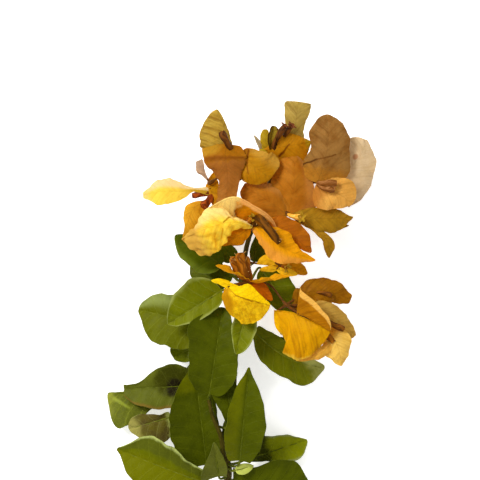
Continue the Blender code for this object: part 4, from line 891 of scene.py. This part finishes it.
    ]),
    "bloom_under_middle": dict(limb="main_stem", at=0.9, centre=(24, 72, 22), bracts=[
        dict(rib=[(24, 72, 22), (14, 81, 16), (5, 89, 4)], width=(12, 12), look="rust"),
        dict(rib=[(24, 72, 22), (37, 80, 16), (48, 86, 2)], width=(12, 12), look="ochre"),
        dict(rib=[(24, 72, 22), (25, 61, 16), (26, 50, 1)], width=(12, 12), look="gold"),
    ], flowers=[dict(path=[(24, 72, 22), (26, 64, 22), (27, 57, 19)], radii=(1.0, 1.8))]),
    "bloom_under_left": dict(limb="main_stem", at=0.8, centre=(-12, 52, 26), bracts=[
        dict(rib=[(-12, 52, 26), (-22, 47, 20), (-32, 42, 8)], width=(11, 12), look="gold"),
        dict(rib=[(-12, 52, 26), (-13, 59, 18), (-14, 64, 2)], width=(11, 11), look="ochre"),
        dict(rib=[(-12, 52, 26), (-5, 44, 23), (2, 36, 14)], width=(9, 9), look="gold"),
    ], flowers=[dict(path=[(-12, 52, 26), (-16, 57, 23), (-18, 61, 19)], radii=(1.0, 1.8))]),
    "bloom_under_right": dict(limb="twig_right", at=0.7, centre=(60, 82, 24), bracts=[
        dict(rib=[(60, 82, 24), (71, 88, 18), (80, 94, 6)], width=(12, 12), look="tan"),
        dict(rib=[(60, 82, 24), (58, 98, 16), (55, 112, 2)], width=(12, 12), look="ochre"),
        dict(rib=[(60, 82, 24), (66, 72, 17), (70, 62, 2)], width=(11, 11), look="orangeGold"),
    ], flowers=[dict(path=[(60, 82, 24), (60, 90, 23), (59, 97, 20)], radii=(1.0, 1.8))]),
    "bloom_under_low": dict(limb="main_stem", at=0.63, centre=(40, -8, 26), bracts=[
        dict(rib=[(40, -8, 26), (54, -16, 18), (66, -24, 2)], width=(12, 12), look="tanGold"),
        dict(rib=[(40, -8, 26), (36, -20, 20), (34, -32, 6)], width=(10, 10), look="orangeYellow"),
        dict(rib=[(40, -8, 26), (52, 0, 18), (62, 6, 4)], width=(9, 9), look="ochre"),
    ], flowers=[dict(path=[(40, -8, 26), (47, -10, 26), (53, -13, 23)], radii=(1.0, 1.8))]),
}
bractLooks = dict(
    # paleGold: its four darker lines along the creases of its crumples are painted shade in those creases
    paleGold=dict(body=(255, 232, 78), shade=(252, 212, 48), ribs=(220, 160, 20), mottle=0.8, mottleScale=0.2,
                  shadeAndCreaseLines=[(0.8, 22.5, 3.2, 18, 0.9, (190, 136, 4)), (3.2, 18, 4, 13, 0.7, (200, 146, 10)),
                           (-3, 24, -9, 26, 1.1, (226, 170, 20)), (-4, 30, -12, 33, 1.2, (230, 176, 30))],
                  tints=[("across", 0.1, 0.6, (252, 230, 146)), ("along", 0.62, 0.85, (222, 180, 76))]),
    # lip: the layer under the hood's lower margin; its darker orange is painted shade
    lip=dict(body=(214, 140, 0), shade=(196, 120, 0), ribs=(150, 86, 0)),
    # rimmed: the orange of its left half, up to about 0.6 along, is painted shade of the hood over it; the
    # pale tints on its narrow right side and further along are its colour out of that shade
    rimmed=dict(body=(226, 150, 4), shade=(200, 122, 0), ribs=(150, 84, 0),
                tints=[("across", -0.2, -0.08, (244, 190, 104)), ("along", 0.55, 0.66, (252, 226, 136))]),
    skirt=dict(body=(240, 174, 8), shade=(226, 156, 4), ribs=(186, 118, 0),
               tints=[("across", 0.2, 0.6, (232, 166, 56))]),
    rust=dict(body=(198, 130, 32), shade=(178, 106, 14), ribs=(136, 76, 6), streaks=0.25, ribShare=0.12,
              netShare=0.08, mottle=0.8, mottleScale=0.09, tints=[("across", 0.35, 0.9, (200, 138, 62))]),
    olive=dict(body=(184, 138, 28), shade=(156, 112, 18), ribs=(122, 86, 14)),
    cream=dict(body=(240, 216, 86), shade=(236, 206, 70), ribs=(222, 180, 50),
               tints=[("along", 0.5, 0.2, (208, 168, 44)), ("across", 0.1, 0.5, (234, 212, 156)),
                      ("along", 0.8, 1.0, (238, 210, 126))]),
    ochre=dict(body=(208, 146, 10), shade=(186, 122, 2), ribs=(136, 82, 0)),
    foldedOchre=dict(body=(206, 142, 14), shade=(186, 120, 2), ribs=(136, 82, 0), ribShare=0.15,
                     tints=[("along", 0.86, 0.98, (186, 152, 24))],
                     # its two dark lines are painted shade along its fold
                     shadeAndCreaseLines=[(5.4, 9.5, 3.6, 13, 1.6, (116, 54, 0)), (3.6, 13, -1, 18, 1.0, (130, 68, 0))]),
    crest=dict(body=(200, 170, 72), shade=(188, 150, 48), ribs=(140, 96, 16), streaks=0.7),
    brown=dict(body=(174, 110, 40), shade=(158, 96, 26), ribs=(112, 62, 10), ribShare=0.12, streaks=0.2,
               tints=[("along", 0.55, 0.8, (182, 120, 46)), ("along", 0.32, 0.16, (182, 116, 12))],
               # the broad band across it, 10 mm from the root, is painted shade along a fold
               shadeAndCreaseLines=[(-11, 10.5, 12, 10, 2.6, (152, 88, 14))],
               spots=[(0.8, 0.06, 0.7, 0.12, (196, 146, 36))]),
    oliveOchre=dict(body=(192, 166, 84), shade=(170, 142, 56), ribs=(126, 92, 26), streaks=0.5,
                    tints=[("along", 0.4, 0.2, (150, 92, 20))]),
    yellowOlive=dict(body=(192, 162, 32), shade=(168, 132, 20), ribs=(140, 104, 16)),
    brownTan=dict(body=(172, 126, 62), shade=(144, 92, 30), ribs=(114, 70, 22), ribShare=0.14, streaks=0.35,
                  mottle=0.8, mottleScale=0.09, tints=[("along", 0.34, 0.1, (196, 136, 42))],
                  # its two dark lines are a painted shadow along its lower left margin, where it lies over
                  # the middle bloom
                  shadeAndCreaseLines=[(-13.5, 9.5, -5, 16.5, 1.1, (92, 52, 8)), (-5, 16.5, 6, 22, 0.8, (122, 74, 22))]),
    tan=dict(body=(220, 198, 160), shade=(208, 182, 134), ribs=(184, 148, 96), ribShare=0.2, streaks=0.3,
             spots=[(-0.2, 0.62, 0.18, 0.06, (196, 148, 106))]),
    orangeGold=dict(body=(234, 184, 88), shade=(220, 160, 64), ribs=(176, 116, 30),
                    tints=[("along", 0.42, 0.14, (200, 134, 50))]),
    rimGold=dict(body=(238, 182, 16), shade=(222, 158, 4), ribs=(190, 126, 0)),
    lemon=dict(body=(252, 216, 24), shade=(222, 172, 2), ribs=(186, 126, 0), mottle=0.85, mottleScale=0.3,
               netShare=0.3, tints=[("across", 0.06, 0.02, (170, 112, 0)),
                                    ("across", 0.02, -0.04, (255, 222, 8))],
               spots=[(0.7, 0.16, 0.5, 0.2, (206, 150, 6))]),
    lemonPlain=dict(body=(255, 224, 18), shade=(246, 206, 10), ribs=(210, 160, 0)),
    # redOrange: its deep red-orange is painted shade, for a bract that sits in shade between the cup's yellow
    # bracts
    redOrange=dict(body=(206, 112, 4), shade=(184, 94, 0), ribs=(150, 70, 0)),
    gold=dict(body=(220, 160, 8), shade=(196, 132, 0), ribs=(156, 96, 0)),
    yellow=dict(body=(248, 208, 36), shade=(236, 184, 20), ribs=(196, 140, 10)),
    orangeYellow=dict(body=(230, 176, 2), shade=(220, 156, 0), ribs=(176, 108, 0), streaks=0.55,
                      tints=[("along", 0.12, 0.02, (248, 202, 0)), ("across", 0.9, 1.0, (226, 190, 60))]),
    brownOrange=dict(body=(198, 132, 6), shade=(178, 110, 0), ribs=(136, 74, 0),
                     tints=[("across", -0.66, -0.76, (242, 196, 92))]),
    paleStrip=dict(body=(238, 190, 76), shade=(226, 172, 50), ribs=(200, 140, 30)),
    brownOchre=dict(body=(170, 114, 10), shade=(146, 88, 4), ribs=(112, 62, 0)),
    tanGold=dict(body=(204, 168, 76), shade=(190, 144, 50), ribs=(150, 104, 30)),
    yellowGold=dict(body=(246, 214, 112), shade=(232, 190, 68), ribs=(190, 140, 34),
                    tints=[("along", 0.5, 0.2, (228, 174, 50))]),
    greyPink=dict(body=(200, 170, 138), shade=(180, 142, 108), ribs=(150, 110, 84)),
    orangeBrown=dict(body=(194, 114, 14), shade=(172, 94, 8), ribs=(136, 70, 8)),
    goldOchre=dict(body=(196, 140, 14), shade=(180, 116, 4), ribs=(142, 88, 4), ribShare=0.16,
                   tints=[("across", -0.2, -0.8, (206, 158, 56)), ("along", 0.2, 0.04, (168, 106, 14))],
                   # its two dark lines are painted shade in a crease
                   shadeAndCreaseLines=[(-3.8, 3, 3, 10, 1.2, (134, 72, 4)), (3, 10, 6, 15, 0.8, (160, 96, 4))]),
    amber=dict(body=(224, 174, 42), shade=(206, 144, 26), ribs=(160, 100, 12)),
    darkRimmed=dict(body=(164, 138, 40), shade=(140, 108, 24), ribs=(96, 56, 14),
                    tints=[("margin", 0.55, 0.95, (84, 46, 12))]),
    greyTan=dict(body=(188, 170, 130), shade=(160, 140, 100), ribs=(130, 110, 80)),
)
for key, look in bractLooks.items():
    finishes[key] = bladeFinish("bract" + key[0].upper() + key[1:], look)
print("finishes made:", len(finishes))


# the open flower's star: its folded profile goes up outside the throat, out to the lobes and back in
star = dict(
    reach=(0.55, 0.8, 1.25, 1.9, 2.3, 2.25, 1.7, 1.0, 0.5, 0.35),
    height=(-1.2, -0.3, 0.35, 0.7, 0.95, 1.08, 0.85, 0.5, -0.2, -0.9),
    lobes=5, lobeDepth=0.3, throat=0.8, lobeLength=1.5, sides=30, grain=6,
)


def openMouth(at, heading, size, finish):
    # the profile turned about the tube's end: reach (1 + lobe cos(5 turn)), the lobe growing from the
    # throat outwards
    reach, height = np.array(star["reach"]), np.array(star["height"]) * size
    lobe = np.clip((reach - star["throat"]) / star["lobeLength"], 0, 1) * star["lobeDepth"]
    path = at + heading * height[:, None]
    _, across, other = pathAxes(path, np.repeat(heading[None], len(path), 0))
    turn, ring = ringRound(across, other, star["sides"])
    radius = reach[:, None] * size * (1 + lobe[:, None] * np.cos(star["lobes"] * turn))
    points, faces = closedRings(path, ring, radius)
    place = np.zeros_like(points)
    place[:, 0] = np.linspace(0, star["grain"], len(points))
    return dict(points=points, faces=faces, place=place, share=place * 0, finish=finish)


hairShape = dict(length=(1.2, 2.4), lean=(0.2, 1.4), root=0.9, radii=(0.24, 0.2, 0.1), sides=6, seed=900)


def flowerHairs(path, radii, count, seed):
    # short hairs that stand out of the tube's outer half and lean towards its end
    draw = np.random.default_rng(hairShape["seed"] + seed)
    along, across, other = pathAxes(path)
    hairs = []
    for _ in range(count):
        ring = draw.integers(len(path) // 3, len(path) - 1)
        turn = draw.uniform(0, 2 * math.pi)
        out = across[ring] * math.cos(turn) + other[ring] * math.sin(turn)
        foot = path[ring] + out * radii[ring] * hairShape["root"]
        lean = unit(out + along[ring] * draw.uniform(*hairShape["lean"]))
        hair = foot + np.array([0.0, 0.5, 1.0])[:, None] * lean * draw.uniform(*hairShape["length"])
        hairs.append(closedTube(hair, hairShape["radii"], hairShape["sides"], "hair"))
    return hairs


tubeShape = dict(rings=30, sides=20, lobes=(5, 0.1), bumps=0.07, at=(0, 0.25, 0.6, 0.85, 1),
                 swell=(0.6, 1.0, 0.85, 1.05, 0.75))


def flowerParts(flower, seed):
    # a five-angled tube along its path, narrow at its waist and swollen at both ends; an open one
    # carries its star
    rings = tubeShape["rings"]
    path = smoothPath(flower["path"], rings)
    swell = np.interp(np.linspace(0, 1, rings), tubeShape["at"], tubeShape["swell"])
    radii = np.linspace(*flower["radii"], rings) * swell
    parts = [closedTube(path, radii, tubeShape["sides"], flower.get("finish", "darkTube"),
                        lobes=tubeShape["lobes"], bumps=tubeShape["bumps"], seed=seed)]
    if flower.get("mouth"):
        heading = unit(path[-1] - path[-3])
        parts.append(openMouth(path[-1], heading, flower["mouth"], flower.get("star", "cream")))
    return parts + flowerHairs(path, radii, flower.get("hairs", 0), seed)


bloomBuild = dict(thickness=0.24, ribSteps=80, rowsPerMm=1.4, rows=(18, 70), columnsPerMm=1.6,
                  columns=(12, 50), stalk=0.6, stalkSteps=26, stalkSides=14, stalkBumps=0.06,
                  heart=(0.65, 1.5), heartEnd=(1.3, 0.7), heartReach=(0.8, 1.5), heartRadius=1.7,
                  bractFoot=(1.0, 0.5), footReach=1.5, footRings=8, footSides=10)


def bloomPieces(name, number):
    # the bracts in one piece; the stalk, its thick end, the flowers, and stalks for the bracts that start
    # clear of that end in another
    make = bloomBuild
    bloom = blooms[name]
    centre = np.array(bloom["centre"], float)
    heading = unit(centre - limbPoint(bloom["limb"], bloom["at"])[0])
    stalk = stalkPath(bloom["limb"], bloom["at"], centre, heading, make["stalkSteps"])
    path = np.vstack([stalk] + [centre + heading * reach for reach in make["heartReach"]])
    heart = np.concatenate([np.linspace(*make["heart"], 5), make["heartEnd"]])
    radii = np.concatenate([np.full(len(path) - len(heart), make["stalk"]), heart])
    parts = []
    small = [closedTube(path, radii, make["stalkSides"], "bloomStalk", bumps=make["stalkBumps"], seed=number)]
    for k, given in enumerate(bloom["bracts"]):
        bract = {**bractShape, **given}
        bract["relief"] = {**bractShape["relief"], **given.get("relief", {})}
        for side, widest in zip(("left", "right"), bract["width"]):
            bract.setdefault(side, widest * np.array(bractShares))
        rib = smoothPath(bract["rib"], make["ribSteps"])
        length = spreadAlong(rib, np.array([1.0]))[1]
        rows = int(np.clip(length * make["rowsPerMm"], *make["rows"]))
        width = max(bract["left"]) + max(bract["right"])
        columns = int(np.clip(width * make["columnsPerMm"], *make["columns"]))
        blade = bladeSurface(rib, bract, rows, columns + columns % 2, 10 * number + k)
        parts.append(closedSheet(blade, make["thickness"], bract["look"]))
        if np.linalg.norm(rib[0] - centre) > make["heartRadius"]:
            inside = rib[0] + unit(rib[4] - rib[0]) * make["footReach"]
            foot = smoothPath([centre, (centre + inside) / 2, inside], make["footRings"])
            thick = np.linspace(*make["bractFoot"], make["footRings"])
            small.append(closedTube(foot, thick, make["footSides"], "bloomStalk"))
    for k, flower in enumerate(bloom.get("flowers", [])):
        small += flowerParts(flower, 10 * number + k)
    makePiece(name + "_bracts", parts, finishes, name)
    makePiece(name + "_flowers", small, finishes, name)


for name in limbs:
    finish = "bark" if name == "main_stem" else "youngBark"
    makePiece(name + "_bark", [barkedLimb(name, finish)], finishes, name)
print("stem and twigs made")
for number, name in enumerate(leaves):
    leafPiece(name, number)
print("leaves made:", len(leaves))
for number, name in enumerate(blooms):
    bloomPieces(name, number)
print("blooms made:", len(blooms))


# in metres, but for "aim", the point under the camera in the shapes' millimetres, and "away", how far the
# camera stands above it in millimetres
stage = dict(floor=4.0, floorDrop=0.0003, floorTone=(0.86, 0.86, 0.86, 1), floorRough=0.9, floorShine=0.1,
             floorGlow=0.55, sky=0.75, keyPower=24.0, keySize=0.5, keyAt=(-0.75, 0.65, 1.25),
             keyAim=(0, 0, 0.04), keyTone=(1.0, 0.98, 0.93), aim=(0, 39, 45.65), away=1733.0, lens=200.0,
             sensor=36, farthest=20)
white = (1, 1, 1, 1)


def makeFloor():  # one pale square that glows a little, just under the lowest leaf
    half, low = stage["floor"] / 2, -stage["floorDrop"]
    mesh = bpy.data.meshes.new("floor")
    corners = [(-half, -half, low), (half, -half, low), (half, half, low), (-half, half, low)]
    mesh.from_pydata(corners, [], [(0, 1, 2, 3)])
    floor = bpy.data.objects.new("floor", mesh)
    bpy.context.scene.collection.objects.link(floor)
    n = Nodes("floorPaper")
    n.shader.inputs["Base Color"].default_value = stage["floorTone"]
    n.shader.inputs["Roughness"].default_value = stage["floorRough"]
    n.shader.inputs["Specular IOR Level"].default_value = stage["floorShine"]
    n.shader.inputs["Emission Color"].default_value = white
    n.shader.inputs["Emission Strength"].default_value = stage["floorGlow"]
    mesh.materials.append(n.made)


def makeLight():  # an even white sky and one soft key light from the upper left
    world = bpy.data.worlds.new("studio")
    world.use_nodes = True
    back = world.node_tree.nodes["Background"]
    back.inputs["Color"].default_value = white
    back.inputs["Strength"].default_value = stage["sky"]
    bpy.context.scene.world = world
    lamp = bpy.data.lights.new("key", "AREA")
    lamp.size = stage["keySize"]
    lamp.energy = stage["keyPower"]
    lamp.color = stage["keyTone"]
    key = bpy.data.objects.new("key", lamp)
    key.location = stage["keyAt"]
    toward = np.array(stage["keyAim"]) - np.array(stage["keyAt"])
    key.rotation_euler = (math.atan2(math.hypot(toward[0], toward[1]), -toward[2]), 0,
                          math.atan2(toward[1], toward[0]) - math.pi / 2)
    bpy.context.scene.collection.objects.link(key)


def makeCamera():  # looks straight down
    lens = bpy.data.cameras.new("camera")
    lens.lens = stage["lens"]
    lens.sensor_width = stage["sensor"]
    lens.clip_end = stage["farthest"]
    camera = bpy.data.objects.new("camera", lens)
    x, y, z = np.array(stage["aim"]) + move
    camera.location = (x * mm, y * mm, (z + stage["away"]) * mm)
    bpy.context.scene.collection.objects.link(camera)
    bpy.context.scene.camera = camera


makeFloor()
makeLight()
makeCamera()
bpy.context.scene.view_settings.view_transform = "Standard"
print("floor, light and camera set")

bpy.context.view_layer.update()
